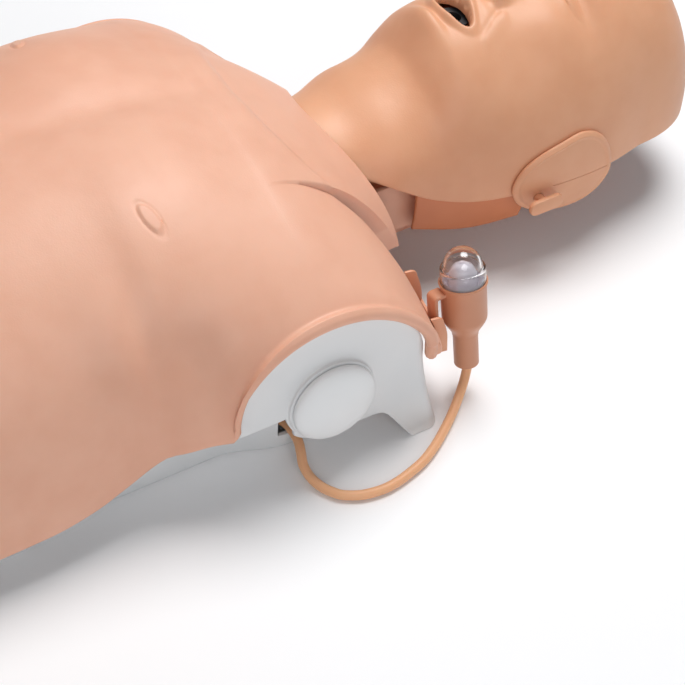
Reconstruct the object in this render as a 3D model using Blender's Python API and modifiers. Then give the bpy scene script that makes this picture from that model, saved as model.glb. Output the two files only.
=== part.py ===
"""CPR training manikin: a torso and head lying on its back, with an indicator lamp on a cable.

+X is the manikin's left, +Y points to the crown of the head and +Z is up.
The origin is at the centre of the footprint, on the floor. All lengths are in metres.
"""
import bpy
import bmesh
import math
from mathutils import Matrix, Vector

MM = 0.001

# Fits between pieces
GAP = 0.3 * MM
RUNNING_GAP = 0.4 * MM
SKIN_FIT = 0.6 * MM

# Torso as a whole
WAIST_Y = -380 * MM
SHOULDER_HALF = 190 * MM
SKIN_WALL = 5 * MM
DECK_TOP = 60 * MM
SKIN_EDGE_Z = DECK_TOP + SKIN_FIT

# Arm opening, a round arch in the skin with its centre on the arm's axis
ARM_Y = -30 * MM
ARM_RADIUS = 72 * MM

# Collar, where the torso's skin ends round the neck
COLLAR_HALF = 80 * MM
COLLAR_RISE = 95 * MM
COLLAR_Z = 50 * MM
COLLAR_Y = 54 * MM
COLLAR_SWEEP = 34 * MM
COLLAR_POWER = 1.84
COLLAR_SHARE = 0.5

# White frame
FRAME_HALF = 185 * MM
FRAME_FRONT_Y = 45 * MM
FRAME_WALL = 3.5 * MM
FRAME_CORNER = 12 * MM
SKIRT_Z = 34 * MM
SKIRT_CLEAR = 2.5 * MM
SIDE_CUT_Z = 55 * MM
BOSS_RADIUS = 33 * MM
BOSS_HEIGHT = 3 * MM
BOSS_Z = 62 * MM
CAP_RADIUS = 30 * MM
CAP_DOME = 11 * MM
CAP_STEM = 9 * MM
FOOT_LENGTH = 21 * MM
DECK_HOLE_HALF_X = 70 * MM
DECK_HOLE_HALF_Y = 105 * MM

# Base tray
TRAY_HALF = 146 * MM
TRAY_HEIGHT = 31 * MM
TRAY_FLARE = 8 * MM
TRAY_WALL = 3 * MM
TRAY_CORNER = 40 * MM
TRAY_BACK_Y = -368 * MM
TRAY_FRONT_Y = 32 * MM
TRAY_FOOT_Y = -252 * MM
TRAY_FOOT_LENGTH = 30 * MM
POST_RADIUS = 6 * MM
POST_X = 118 * MM
POST_BACK_Y = -330 * MM
POST_FRONT_Y = 5 * MM

# Compression unit
PRESS_Y = -107 * MM
TRAVEL = 52 * MM
PLATE_HALF_X = 72 * MM
PLATE_HALF_Y = 88 * MM
PLATE_THICK = 6 * MM
PLATE_TOP = 178 * MM
PLATE_DROP = 14 * MM
PLATE_FLAT = 0.5
ROD_RADIUS = 10 * MM
TUBE_WALL = 3 * MM
TUBE_TOP = 112 * MM
FLANGE_RADIUS = 36 * MM
FLANGE_THICK = 4 * MM
SPRING_RADIUS = 24 * MM
SPRING_WIRE = 4.5 * MM
SPRING_TURNS = 7
MAGNET_RADIUS = 7 * MM
MAGNET_THICK = 4 * MM

# Electronics in the tray
BOX_X = 103 * MM
BOX_Y = -72 * MM
BOX_SIZE = (58 * MM, 92 * MM, 34 * MM)
BOX_WALL = 2 * MM
BOX_CORNER = 5 * MM
LID_THICK = 2.5 * MM
CELL_RADIUS = 7 * MM
CELL_LENGTH = 50 * MM
BOARD_THICK = 1.6 * MM
GLAND_RADIUS = 7 * MM
GLAND_LENGTH = 10 * MM
GLAND_Y = -66 * MM
GLAND_Z = 24 * MM

# Screws
SCREW_RADIUS = 2 * MM
SCREW_HEAD_RADIUS = 4 * MM
SCREW_HEAD = 2.6 * MM
SCREW_LENGTH = 14 * MM

# Neck joint
NECK_Y = 140 * MM
NECK_Z = 80 * MM
BRACKET_HALF = 49 * MM
BRACKET_WALL = 4 * MM
BRACKET_BASE_Z = 44 * MM
BRACKET_HEIGHT = 46 * MM
BRACKET_END_Y = 126 * MM
EAR_RADIUS = 12 * MM
PIN_RADIUS = 4 * MM

# Head
CROWN_Y = 380 * MM
MASK_WALL = 4 * MM
MASK_FIT = 0.5 * MM
SKULL_WALL = 3 * MM
MOUTH_Y = 176 * MM
MOUTH_HALF_WIDTH = 21 * MM
MOUTH_HALF_HEIGHT = 7.5 * MM
AIRWAY_RADIUS = 9 * MM
AIRWAY_WALL = 2 * MM
AIRWAY_LENGTH = 34 * MM
TAB_Y = 224 * MM
TAB_Z = 78 * MM
TAB_HALF = 45 * MM
TAB_RISE = 33 * MM
TAB_THICK = 3.2 * MM
PEG_Y = 206 * MM
PEG_Z = 58 * MM
PEG_RADIUS = 3.5 * MM
PEG_SEAT = 1.2 * MM
PEG_HEAD_HALF = 13 * MM
PEG_HEAD_RISE = 4.5 * MM
PEG_HEAD_THICK = 4 * MM

# Indicator lamp, leaning a little inwards, with its foot outermost and just ahead of its pocket
LAMP_X = SHOULDER_HALF - 18 * MM
LAMP_AHEAD = 26.7 * MM
LAMP_Z = 24 * MM
LAMP_LEAN = math.radians(9.0)
LAMP_RADIUS = 15.8 * MM
LAMP_RIM = 1.2 * MM
SLEEVE_RADIUS = 8.8 * MM
SLEEVE_LENGTH = 26 * MM
CONE_LENGTH = 10 * MM
BARREL_LENGTH = 31 * MM
LAMP_WALL = 2 * MM
LENS_HEIGHT = 24 * MM
LENS_SEAT = 2.5 * MM
LED_RADIUS = 5 * MM
HOOK_REACH = 8.5 * MM
HOOK_THICK = 3.2 * MM
HOOK_WIDTH = 11 * MM
HOOK_SHIFT = -2.5 * MM
HOOK_FIT = 1.3 * MM

# Lamp pocket on the shoulder, turned to lie along the skin's front edge
POCKET_X = SHOULDER_HALF - 39 * MM
POCKET_TURN = math.radians(-11.8)
POCKET_CLEAR = 1.2 * MM
POCKET_LENGTH = 47 * MM
POCKET_DEPTH = 13.5 * MM
POCKET_WALL = 2.2 * MM
POCKET_LOW = 48 * MM
POCKET_INNER_RISE = 38 * MM
POCKET_OUTER_RISE = 26 * MM

# Cable from the box to the lamp, with its route's own points
CABLE_RADIUS = 3.4 * MM
CABLE_ROUTE = (
    (0.1310, -0.0660, 0.0240), (0.1370, -0.0660, 0.0240), (0.1430, -0.0660, 0.0243), (0.1500, -0.0662, 0.0262),
    (0.1580, -0.0665, 0.0335), (0.1670, -0.0668, 0.0420), (0.1775, -0.0672, 0.0475), (0.1885, -0.0668, 0.0468),
    (0.1970, -0.0640, 0.0395), (0.2025, -0.0600, 0.0280), (0.2070, -0.0550, 0.0165), (0.2130, -0.0475, 0.0080),
    (0.2200, -0.0365, 0.0044), (0.2260, -0.0220, 0.0038), (0.2285, -0.0070, 0.0038), (0.2275, 0.0080, 0.0038),
    (0.2225, 0.0235, 0.0038), (0.2150, 0.0385, 0.0040), (0.2055, 0.0535, 0.0048), (0.1945, 0.0665, 0.0068),
    (0.1845, 0.0770, 0.0110), (0.1768, 0.0840, 0.0172), (0.1720, 0.0875, 0.0240), (0.1712, 0.0875, 0.0290),
    (0.1704, 0.0875, 0.0340), (0.1698, 0.0875, 0.0375),
)
CABLE_LAMP_POINT = 22
CABLE_POINTS = 40


def material(name, colour, roughness=0.5, metallic=0.0, alpha=1.0):
    mat = bpy.data.materials.new(name)
    mat.use_nodes = True
    shader = mat.node_tree.nodes["Principled BSDF"]
    shader.inputs["Base Color"].default_value = (*colour, 1.0)
    shader.inputs["Roughness"].default_value = roughness
    shader.inputs["Metallic"].default_value = metallic
    shader.inputs["Alpha"].default_value = alpha
    mat.diffuse_color = (*colour, alpha)
    return mat


def clear_scene():
    for obj in list(bpy.data.objects):
        bpy.data.objects.remove(obj, do_unlink=True)


def collection(name):
    made = bpy.data.collections.new(name)
    bpy.context.scene.collection.children.link(made)
    return made


clear_scene()
MANIKIN = collection("cpr_training_manikin")
CUTTERS = collection("cutters")

SKIN = material("skin", (0.84, 0.52, 0.37), 0.55)
MASK = material("mask_skin", (0.80, 0.50, 0.32), 0.55)
SKULL = material("skull_plastic", (0.50, 0.14, 0.055), 0.5)
WHITE = material("white_plastic", (0.78, 0.79, 0.80), 0.45)
LAMP_SHELL = material("lamp_plastic", (0.66, 0.31, 0.16), 0.45)
CLEAR = material("clear_plastic", (0.92, 0.94, 0.95), 0.08, alpha=0.35)
LED_LIGHT = material("led_resin", (0.85, 0.80, 0.72), 0.2)
CABLE = material("cable_sheath", (0.82, 0.38, 0.20), 0.5)
STEEL = material("steel", (0.55, 0.56, 0.58), 0.3, 1.0)
DARK = material("dark_plastic", (0.05, 0.05, 0.055), 0.5)
CIRCUIT = material("circuit_board", (0.04, 0.20, 0.10), 0.5)
CELL = material("cell_can", (0.35, 0.36, 0.38), 0.35, 0.8)
FILM = material("bag_film", (0.80, 0.84, 0.88), 0.3)


# Flat outlines are drawn as (across, up) and then stood up, facing along X or along Y
FACING_X = Matrix(((0, 0, 1, 0), (1, 0, 0, 0), (0, 1, 0, 0), (0, 0, 0, 1)))
FACING_Y = Matrix(((1, 0, 0, 0), (0, 0, 1, 0), (0, 1, 0, 0), (0, 0, 0, 1)))


def add_object(name, mesh, mat, group=None, smooth=True):
    obj = bpy.data.objects.new(name, mesh)
    if mat is not None:
        mesh.materials.append(mat)
    (group or MANIKIN).objects.link(obj)
    if smooth:
        mesh.shade_smooth()
        mesh.set_sharp_from_angle(angle=math.radians(40))
    return obj


def add_cutter(name, mesh):
    cutter = add_object(name, mesh, None, CUTTERS, smooth=False)
    cutter.hide_render = True
    cutter.display_type = "WIRE"
    return cutter


def boolean(obj, other, operation="DIFFERENCE"):
    mod = obj.modifiers.new(f"{operation.lower()}_{other.name}", "BOOLEAN")
    mod.object = other
    mod.operation = operation
    mod.solver = "EXACT"


def cylinder_mesh(name, radius, depth, sides=16, axis="Z"):
    """A closed cylinder centred on the origin."""
    bm = bmesh.new()
    bmesh.ops.create_cone(bm, cap_ends=True, segments=sides, radius1=radius, radius2=radius, depth=depth)
    if axis == "X":
        bm.transform(Matrix.Rotation(math.radians(90), 4, "Y"))
    elif axis == "Y":
        bm.transform(Matrix.Rotation(math.radians(90), 4, "X"))
    mesh = bpy.data.meshes.new(name)
    bm.to_mesh(mesh)
    bm.free()
    return mesh


def box_mesh(name, low, high):
    """A closed box between two corners."""
    bm = bmesh.new()
    bmesh.ops.create_cube(bm, size=1.0)
    size = [b - a for a, b in zip(low, high)]
    centre = [(a + b) / 2 for a, b in zip(low, high)]
    bm.transform(Matrix.Translation(centre) @ Matrix.Diagonal((*size, 1.0)))
    mesh = bpy.data.meshes.new(name)
    bm.to_mesh(mesh)
    bm.free()
    return mesh


def turned(name, profile, mat, steps=20, place=Matrix()):
    """A solid turned round its own Z axis from a closed (radius, height) outline."""
    mesh = bpy.data.meshes.new(name)
    verts = [(r, 0.0, z) for r, z in profile]
    closed = profile[0][0] > 0 or profile[-1][0] > 0
    count = len(verts)
    edges = [(i, (i + 1) % count) for i in range(count if closed else count - 1)]
    mesh.from_pydata(verts, edges, [])
    obj = add_object(name, mesh, mat)
    obj.matrix_world = place
    screw = obj.modifiers.new("turn", "SCREW")
    screw.axis = "Z"
    screw.steps = screw.render_steps = steps
    screw.use_merge_vertices = True
    screw.merge_threshold = 0.00001
    return obj


def plate_mesh(name, outline, thickness, holes=()):
    """A flat plate: a closed outline in its own XY plane, centred on that plane in thickness."""
    curve = bpy.data.curves.new(name, "CURVE")
    curve.dimensions = "2D"
    curve.fill_mode = "BOTH"
    curve.extrude = thickness / 2
    for loop in (outline, *holes):
        spline = curve.splines.new("POLY")
        spline.points.add(len(loop) - 1)
        for point, (a, b) in zip(spline.points, loop):
            point.co = (a, b, 0.0, 1.0)
        spline.use_cyclic_u = True
    guide = bpy.data.objects.new(name + "_curve", curve)
    CUTTERS.objects.link(guide)
    depsgraph = bpy.context.evaluated_depsgraph_get()
    mesh = bpy.data.meshes.new_from_object(guide.evaluated_get(depsgraph))
    bpy.data.objects.remove(guide, do_unlink=True)
    bm = bmesh.new()
    bm.from_mesh(mesh)
    bmesh.ops.remove_doubles(bm, verts=bm.verts, dist=0.000001)
    bmesh.ops.recalc_face_normals(bm, faces=bm.faces)
    bm.to_mesh(mesh)
    bm.free()
    return mesh


def rows_mesh(name, rows, closed_rows=False, merge=0.0):
    """An open sheet through rows of points, every row with as many points."""
    count = len(rows[0])
    verts = [point for row in rows for point in row]
    faces = []
    for i in range(len(rows) - 1):
        for j in range(count if closed_rows else count - 1):
            k = (j + 1) % count
            faces.append((i * count + j, i * count + k, (i + 1) * count + k, (i + 1) * count + j))
    mesh = bpy.data.meshes.new(name)
    mesh.from_pydata(verts, [], faces)
    if merge:
        bm = bmesh.new()
        bm.from_mesh(mesh)
        bmesh.ops.remove_doubles(bm, verts=bm.verts, dist=merge)
        bm.to_mesh(mesh)
        bm.free()
    return mesh


def tub_mesh(name, outline_at, levels):
    """An open tub: outline_at(level) gives its ring of (x, y) points, the first level has the floor."""
    rings = [[Vector((x, y, level[-1])) for x, y in outline_at(level)] for level in levels]
    mesh = rows_mesh(name, rings, closed_rows=True)
    close_rows(mesh, 0, len(rings[0]))
    return mesh


def close_rows(mesh, first, count):
    """Fill one row of points with a face and point all faces outward."""
    bm = bmesh.new()
    bm.from_mesh(mesh)
    bm.verts.ensure_lookup_table()
    bm.faces.new([bm.verts[first + i] for i in range(count)])
    bmesh.ops.recalc_face_normals(bm, faces=bm.faces)
    bm.to_mesh(mesh)
    bm.free()


def mirror(obj):
    mod = obj.modifiers.new("mirror", "MIRROR")
    mod.use_axis = (True, False, False)
    mod.use_clip = True
    mod.merge_threshold = 0.00001


def solidify(obj, thickness, offset=-1.0):
    mod = obj.modifiers.new("wall", "SOLIDIFY")
    mod.thickness = thickness
    mod.offset = offset
    mod.use_even_offset = True


def chamfer(obj, width):
    mod = obj.modifiers.new("edge", "BEVEL")
    mod.width = width
    mod.segments = 1
    mod.limit_method = "ANGLE"
    mod.angle_limit = math.radians(60)


def ease(t):
    t = min(max(t, 0.0), 1.0)
    return t * t * (3 - 2 * t)


def mix(a, b, t):
    return a + (b - a) * t


def along(stations, at):
    """Value at a place along a smooth curve through (place, value) stations, in rising order."""
    if at <= stations[0][0]:
        return stations[0][1]
    if at >= stations[-1][0]:
        return stations[-1][1]
    slopes = []
    for i in range(len(stations)):
        left = stations[max(i - 1, 0)]
        right = stations[min(i + 1, len(stations) - 1)]
        slopes.append((right[1] - left[1]) / (right[0] - left[0]))
    for i in range(len(stations) - 1):
        (a, va), (b, vb) = stations[i], stations[i + 1]
        if at <= b:
            t = (at - a) / (b - a)
            h = b - a
            return ((1 + 2 * t) * (1 - t) ** 2 * va + t * (1 - t) ** 2 * h * slopes[i]
                    + t * t * (3 - 2 * t) * vb + t * t * (t - 1) * h * slopes[i + 1])


def hill(x, y, at_x, at_y, wide, long):
    """A soft round rise of height 1."""
    return math.exp(-((x - at_x) / wide) ** 2 - ((y - at_y) / long) ** 2)


# Torso skin. Behind the arm, stations give how far the lower edge lies inside the shoulder
# and how far it drops, against the distance behind the arm opening.
EDGE_IN = [(d * MM, v * MM) for d, v in
           ((0, 0), (14, 5), (28, 10), (42, 17), (72, 15), (126, 11), (228, 13), (278, 18))]
EDGE_DOWN = [(d * MM, v * MM) for d, v in
             ((0, 0), (14, 0.6), (28, 3.6), (42, 8.6), (72, 18.6), (91, 24.6), (126, 28.6), (278, 31))]
RIDGE_HEIGHT = [(y * MM, z * MM) for y, z in
                ((-380, 158), (-330, 168), (-280, 183), (-200, 199), (-130, 203), (-70, 200), (-30, 191))]
SHOULDER_LINE = [(d * MM, v * MM) for d, v in
                 ((0, 0), (6, 10), (25, 16), (50, 21), (85, 27), (98, 33), (111, 46))]
SIDE_SQUARE = 2.6
ARM_SQUARE = 2.15
ARM_SECTION_ANGLE = 58
BODY_SECTION_ANGLE = 89
COLLAR_END = math.acos((SKIN_EDGE_Z - COLLAR_Z) / COLLAR_RISE)


def skin_edge(y):
    """The lower edge of the skin's left half, as (x, z), behind the arm's axis."""
    back = ARM_Y - y
    if back < ARM_RADIUS:
        return SHOULDER_HALF, SKIN_EDGE_Z + math.sqrt(ARM_RADIUS ** 2 - back ** 2)
    past = back - ARM_RADIUS
    return SHOULDER_HALF - along(EDGE_IN, past), SKIN_EDGE_Z - along(EDGE_DOWN, past)


def body_relief(x, y, z):
    """Soft muscle forms of the chest, as a shift of a skin point."""
    lift = 4.5 * MM * hill(x, y, 82 * MM, -100 * MM, 46 * MM, 44 * MM)
    lift -= 4.0 * MM * hill(x, y, 0, -95 * MM, 17 * MM, 85 * MM)
    lift += 3.0 * MM * hill(x, y, 62 * MM, 18 * MM, 45 * MM, 10 * MM)
    lift -= 3.0 * MM * hill(x, y, 30 * MM, -262 * MM, 60 * MM, 34 * MM)
    lift -= 4.0 * MM * hill(x, y, 0, -352 * MM, 9 * MM, 8 * MM)
    hollow = 9.0 * MM * hill(y, z, -124 * MM, 100 * MM, 20 * MM, 42 * MM) * ease((x - 90 * MM) / (60 * MM))
    return Vector((-hollow, 0.0, lift))


def body_point(u, y):
    """A point of the skin behind the arm's axis: u runs from the middle line to the edge."""
    edge_x, edge_z = skin_edge(y)
    top = along(RIDGE_HEIGHT, y)
    reach = ease((ARM_Y - y) / (ARM_RADIUS + 32 * MM))
    limit = math.radians(mix(ARM_SECTION_ANGLE, BODY_SECTION_ANGLE, reach))
    power = 2 / mix(ARM_SQUARE, SIDE_SQUARE, reach)
    theta = limit * u ** 1.2
    x = edge_x * (math.sin(theta) / math.sin(limit)) ** power
    low = math.cos(limit) ** power
    z = edge_z + (top - edge_z) * (math.cos(theta) ** power - low) / (1 - low)
    return Vector((x, y, z)) + body_relief(x, y, z) * ease((1 - u) / 0.25)


def collar_y(x, z):
    """How far forward the collar's edge lies, in line with a point of the neck."""
    phi = math.atan2(x / COLLAR_HALF, (z - COLLAR_Z) / COLLAR_RISE)
    return COLLAR_Y + COLLAR_SWEEP * math.sin(phi) ** COLLAR_POWER


def front_edge(u):
    """The front edge of the skin: round the collar, then over the shoulder to the arm."""
    if u <= COLLAR_SHARE:
        phi = COLLAR_END * u / COLLAR_SHARE
        x, z = COLLAR_HALF * math.sin(phi), COLLAR_Z + COLLAR_RISE * math.cos(phi)
        return Vector((x, collar_y(x, z), z))
    notch = front_edge(COLLAR_SHARE)
    share = math.sin((u - COLLAR_SHARE) / (1 - COLLAR_SHARE) * math.pi / 2)
    x = mix(notch.x, SHOULDER_HALF, share)
    return Vector((x, front_edge_y(x), SKIN_EDGE_Z))


def front_edge_y(x):
    """Where the skin's front edge lies along Y, over the shoulder."""
    arm_front = ARM_Y + ARM_RADIUS
    reach = COLLAR_Y + COLLAR_SWEEP * math.sin(COLLAR_END) ** COLLAR_POWER - arm_front
    return arm_front + along(SHOULDER_LINE, SHOULDER_HALF - x) * reach / SHOULDER_LINE[-1][1]


def shoulder_point(u, t):
    """A point of the skin ahead of the arm's axis: t runs from there to the front edge."""
    start = body_point(u, ARM_Y)
    end = front_edge(u)
    turn = t * math.pi / 2
    flat = 1 - ease((u - 0.36) / 0.3)
    y = mix(mix(start.y, end.y, math.sin(turn)), mix(start.y, end.y, t), flat)
    z = mix(mix(end.z, start.z, math.cos(turn)), mix(start.z, end.z, t ** 1.6), flat)
    return Vector((mix(start.x, end.x, ease(t)), y, z))


def skin_rows(body_rows, arch_rows, shoulder_rows, columns):
    """Rows of points over the skin's left half, from the waist to the collar."""
    arch_back = ARM_Y - ARM_RADIUS
    places = [mix(WAIST_Y, arch_back, i / body_rows) for i in range(body_rows)]
    places += [ARM_Y - ARM_RADIUS * math.cos(math.pi / 2 * i / arch_rows) for i in range(arch_rows + 1)]
    rows = [[body_point(j / columns, y) for j in range(columns + 1)] for y in places]
    rows += [[shoulder_point(j / columns, i / shoulder_rows) for j in range(columns + 1)]
             for i in range(1, shoulder_rows + 1)]
    return rows


def skin_half_at(y, z):
    """Half width of the skin's outer face at a height, behind the arm's axis."""
    low, high = 0.0, 1.0
    if body_point(1.0, y).z >= z:
        return body_point(1.0, y).x
    for _ in range(30):
        middle = (low + high) / 2
        if body_point(middle, y).z > z:
            low = middle
        else:
            high = middle
    return body_point(high, y).x


def make_chest_skin():
    mesh = rows_mesh("chest_skin", skin_rows(11, 5, 6, 11))
    obj = add_object("chest_skin", mesh, SKIN)
    mirror(obj)
    solidify(obj, SKIN_WALL)
    return obj


# White frame: an upside-down tray whose deck carries the works, with the arm plates on its sides
def frame_half_at(y):
    inner = skin_half_at(min(y, ARM_Y - ARM_RADIUS), DECK_TOP) - SKIN_WALL - SKIRT_CLEAR
    if y > ARM_Y - ARM_RADIUS + 8 * MM:
        return FRAME_HALF
    return min(FRAME_HALF, inner)


def side_low(y):
    """Height of the skirt's lower edge along the frame's side."""
    ahead = y - ARM_Y
    boss_low = BOSS_Z - BOSS_RADIUS - BOSS_HEIGHT
    if ahead < -BOSS_RADIUS:
        return SIDE_CUT_Z
    if ahead < 0:
        return mix(SIDE_CUT_Z, boss_low, ease((ahead + BOSS_RADIUS) / (14 * MM)))
    heel = FRAME_FRONT_Y - FOOT_LENGTH
    return boss_low * (1 - ease((y - heel + 16 * MM) / (16 * MM)))


def front_low(x):
    """Height of the skirt's lower edge along the frame's front."""
    return SKIRT_Z * ease((FRAME_HALF - 14 * MM - abs(x)) / (22 * MM))


def frame_outline():
    """The skirt's left half as (x, y, lower edge), from the back's middle round to the front's."""
    back_y = WAIST_Y + 6 * MM
    points = [(0.0, back_y, SKIRT_Z), (frame_half_at(back_y) - 30 * MM, back_y, SKIRT_Z)]
    for i in range(7):
        y = mix(back_y + 14 * MM, ARM_Y - ARM_RADIUS - 4 * MM, i / 6)
        points.append((frame_half_at(y), y, SKIRT_Z if i < 5 else SIDE_CUT_Z))
    side_start = ARM_Y - ARM_RADIUS + 10 * MM
    side_end = FRAME_FRONT_Y - FRAME_CORNER
    for i in range(14):
        y = mix(side_start, side_end, i / 13)
        points.append((FRAME_HALF, y, side_low(y)))
    for i in range(1, 4):
        turn = math.pi / 2 * i / 4
        points.append((FRAME_HALF - FRAME_CORNER * (1 - math.cos(turn)),
                       side_end + FRAME_CORNER * math.sin(turn), 0.0))
    for i in range(6):
        x = mix(FRAME_HALF - FRAME_CORNER, FRAME_HALF - 44 * MM, i / 5)
        points.append((x, FRAME_FRONT_Y, front_low(x)))
    points.append((0.0, FRAME_FRONT_Y, SKIRT_Z))
    return points


def arm_plate_outline():
    """The arch of white plate in the arm opening, as (y, z)."""
    radius = ARM_RADIUS - SKIN_WALL - SKIN_FIT
    start = math.asin((DECK_TOP - 6 * MM - SKIN_EDGE_Z) / radius)
    sweep = math.pi - 2 * start
    turns = [start + sweep * i / 16 for i in range(17)]
    return [(ARM_Y + radius * math.cos(turn), SKIN_EDGE_Z + radius * math.sin(turn)) for turn in turns]


def waist_plate_outline():
    """The plate that closes the waist under the skin, as (x, z)."""
    inset = SKIN_WALL + 1.5 * MM
    y = WAIST_Y + 6 * MM
    half = []
    for i in range(9):
        point = body_point(i / 8, y)
        nearby = body_point(min(i / 8 + 0.01, 1.0), y) - body_point(max(i / 8 - 0.01, 0.0), y)
        normal = Vector((-nearby.z, nearby.x)).normalized()
        x, z = point.x - normal.x * inset, point.z - normal.y * inset
        if z > DECK_TOP - 8 * MM:
            half.append((max(x, 0.0), z))
    half.append((half[-1][0], DECK_TOP - 8 * MM))
    return half + [(-x, z) for x, z in reversed(half) if x > 0]


def rounded_box_outline(half_x, half_y, radius, centre=(0.0, 0.0), arc=4):
    points = []
    for corner in range(4):
        sign_x = 1 if corner in (0, 3) else -1
        sign_y = 1 if corner in (0, 1) else -1
        for i in range(arc + 1):
            turn = math.pi / 2 * (corner + i / arc)
            points.append((centre[0] + sign_x * (half_x - radius) + radius * math.cos(turn),
                           centre[1] + sign_y * (half_y - radius) + radius * math.sin(turn)))
    return points


POSTS = [(side * POST_X, y) for y in (POST_BACK_Y, POST_FRONT_Y) for side in (1, -1)]


def make_torso_frame():
    outline = frame_outline()
    low = [Vector((x, y, z)) for x, y, z in outline]
    high = [Vector((x, y, DECK_TOP)) for x, y, z in outline]
    mesh = rows_mesh("torso_frame", [low, high])
    close_rows(mesh, len(low), len(high))
    obj = add_object("torso_frame", mesh, WHITE)
    mirror(obj)
    solidify(obj, FRAME_WALL)
    for side in (1, -1):
        plate = plate_mesh(f"arm_plate_{side}", arm_plate_outline(), FRAME_WALL)
        plate.transform(Matrix.Translation((side * (FRAME_HALF - FRAME_WALL / 2), 0, 0)) @ FACING_X)
        boolean(obj, add_cutter(plate.name, plate), "UNION")
        boss = cylinder_mesh(f"boss_{side}", BOSS_RADIUS, FRAME_WALL + BOSS_HEIGHT, 20, "X")
        boss.transform(Matrix.Translation((side * (FRAME_HALF + BOSS_HEIGHT / 2 - FRAME_WALL / 2), ARM_Y, BOSS_Z)))
        boolean(obj, add_cutter(boss.name, boss), "UNION")
        bore = cylinder_mesh(f"boss_bore_{side}", CAP_STEM + RUNNING_GAP, 20 * MM, 12, "X")
        bore.transform(Matrix.Translation((side * FRAME_HALF, ARM_Y, BOSS_Z)))
        boolean(obj, add_cutter(bore.name, bore))
    waist = plate_mesh("waist_plate", waist_plate_outline(), FRAME_WALL)
    waist.transform(Matrix.Translation((0, WAIST_Y + 6 * MM + FRAME_WALL / 2 + GAP, 0)) @ FACING_Y)
    boolean(obj, add_cutter("waist_plate", waist), "UNION")
    hole = rounded_box_outline(DECK_HOLE_HALF_X, DECK_HOLE_HALF_Y, 30 * MM, (0, PRESS_Y), 3)
    window = plate_mesh("deck_window", hole, 30 * MM)
    window.transform(Matrix.Translation((0, 0, DECK_TOP)))
    boolean(obj, add_cutter("deck_window", window))
    for i, (x, y) in enumerate(POSTS):
        hole = cylinder_mesh(f"deck_hole_{i}", SCREW_RADIUS + GAP, 20 * MM, 8)
        hole.transform(Matrix.Translation((x, y, DECK_TOP)))
        boolean(obj, add_cutter(hole.name, hole))
    return obj


def make_base_tray():
    centre = (0.0, (TRAY_BACK_Y + TRAY_FRONT_Y) / 2)
    half_y = (TRAY_FRONT_Y - TRAY_BACK_Y) / 2

    def outline_at(level):
        spread = level[0]
        return rounded_box_outline(TRAY_HALF + spread, half_y + spread, TRAY_CORNER, centre, 3)

    levels = ((0.0, 0.0), (3 * MM, 4 * MM), (TRAY_FLARE, TRAY_HEIGHT))
    obj = add_object("base_tray", tub_mesh("base_tray", outline_at, levels), WHITE)
    solidify(obj, TRAY_WALL)
    post_top = DECK_TOP - FRAME_WALL - GAP
    for i, (x, y) in enumerate(POSTS):
        post = cylinder_mesh(f"post_{i}", POST_RADIUS, post_top - TRAY_WALL / 2, 12)
        post.transform(Matrix.Translation((x, y, (post_top + TRAY_WALL / 2) / 2)))
        boolean(obj, add_cutter(post.name, post), "UNION")
        hole = cylinder_mesh(f"post_hole_{i}", SCREW_RADIUS + GAP, 2 * SCREW_LENGTH, 8)
        hole.transform(Matrix.Translation((x, y, post_top)))
        boolean(obj, add_cutter(hole.name, hole))
    for side in (1, -1):
        inner = TRAY_HALF - 6 * MM
        foot = box_mesh(f"tray_foot_{side}", (side * inner - 18 * MM, TRAY_FOOT_Y - TRAY_FOOT_LENGTH / 2, 0.0),
                        (side * inner + 18 * MM, TRAY_FOOT_Y + TRAY_FOOT_LENGTH / 2, 10 * MM))
        boolean(obj, add_cutter(foot.name, foot), "UNION")
    slot = box_mesh("cable_notch", (TRAY_HALF - 12 * MM, BOX_Y - 0.5 * MM, 15 * MM),
                    (TRAY_HALF + 30 * MM, BOX_Y + 13 * MM, TRAY_HEIGHT + 10 * MM))
    boolean(obj, add_cutter("cable_notch", slot))
    return obj


def make_arm_caps():
    seat_x = FRAME_HALF + BOSS_HEIGHT + GAP
    rim = 2.5 * MM
    profile = [(CAP_STEM, 0.0), (CAP_STEM, -FRAME_WALL - 4 * MM), (0.0, -FRAME_WALL - 4 * MM)]
    turns = [math.pi / 2 * i / 5 for i in range(6)]
    dome = [(CAP_RADIUS * math.sin(turn), rim + (CAP_DOME - rim) * math.cos(turn)) for turn in turns]
    outline = [*dome, (CAP_RADIUS, 0.0), *profile]
    for side, name in ((1, "arm_cap_left"), (-1, "arm_cap_right")):
        place = Matrix.Translation((side * seat_x, ARM_Y, BOSS_Z)) @ Matrix.Rotation(side * math.pi / 2, 4, "Y")
        turned(name, outline, WHITE, 22, place)


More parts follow.
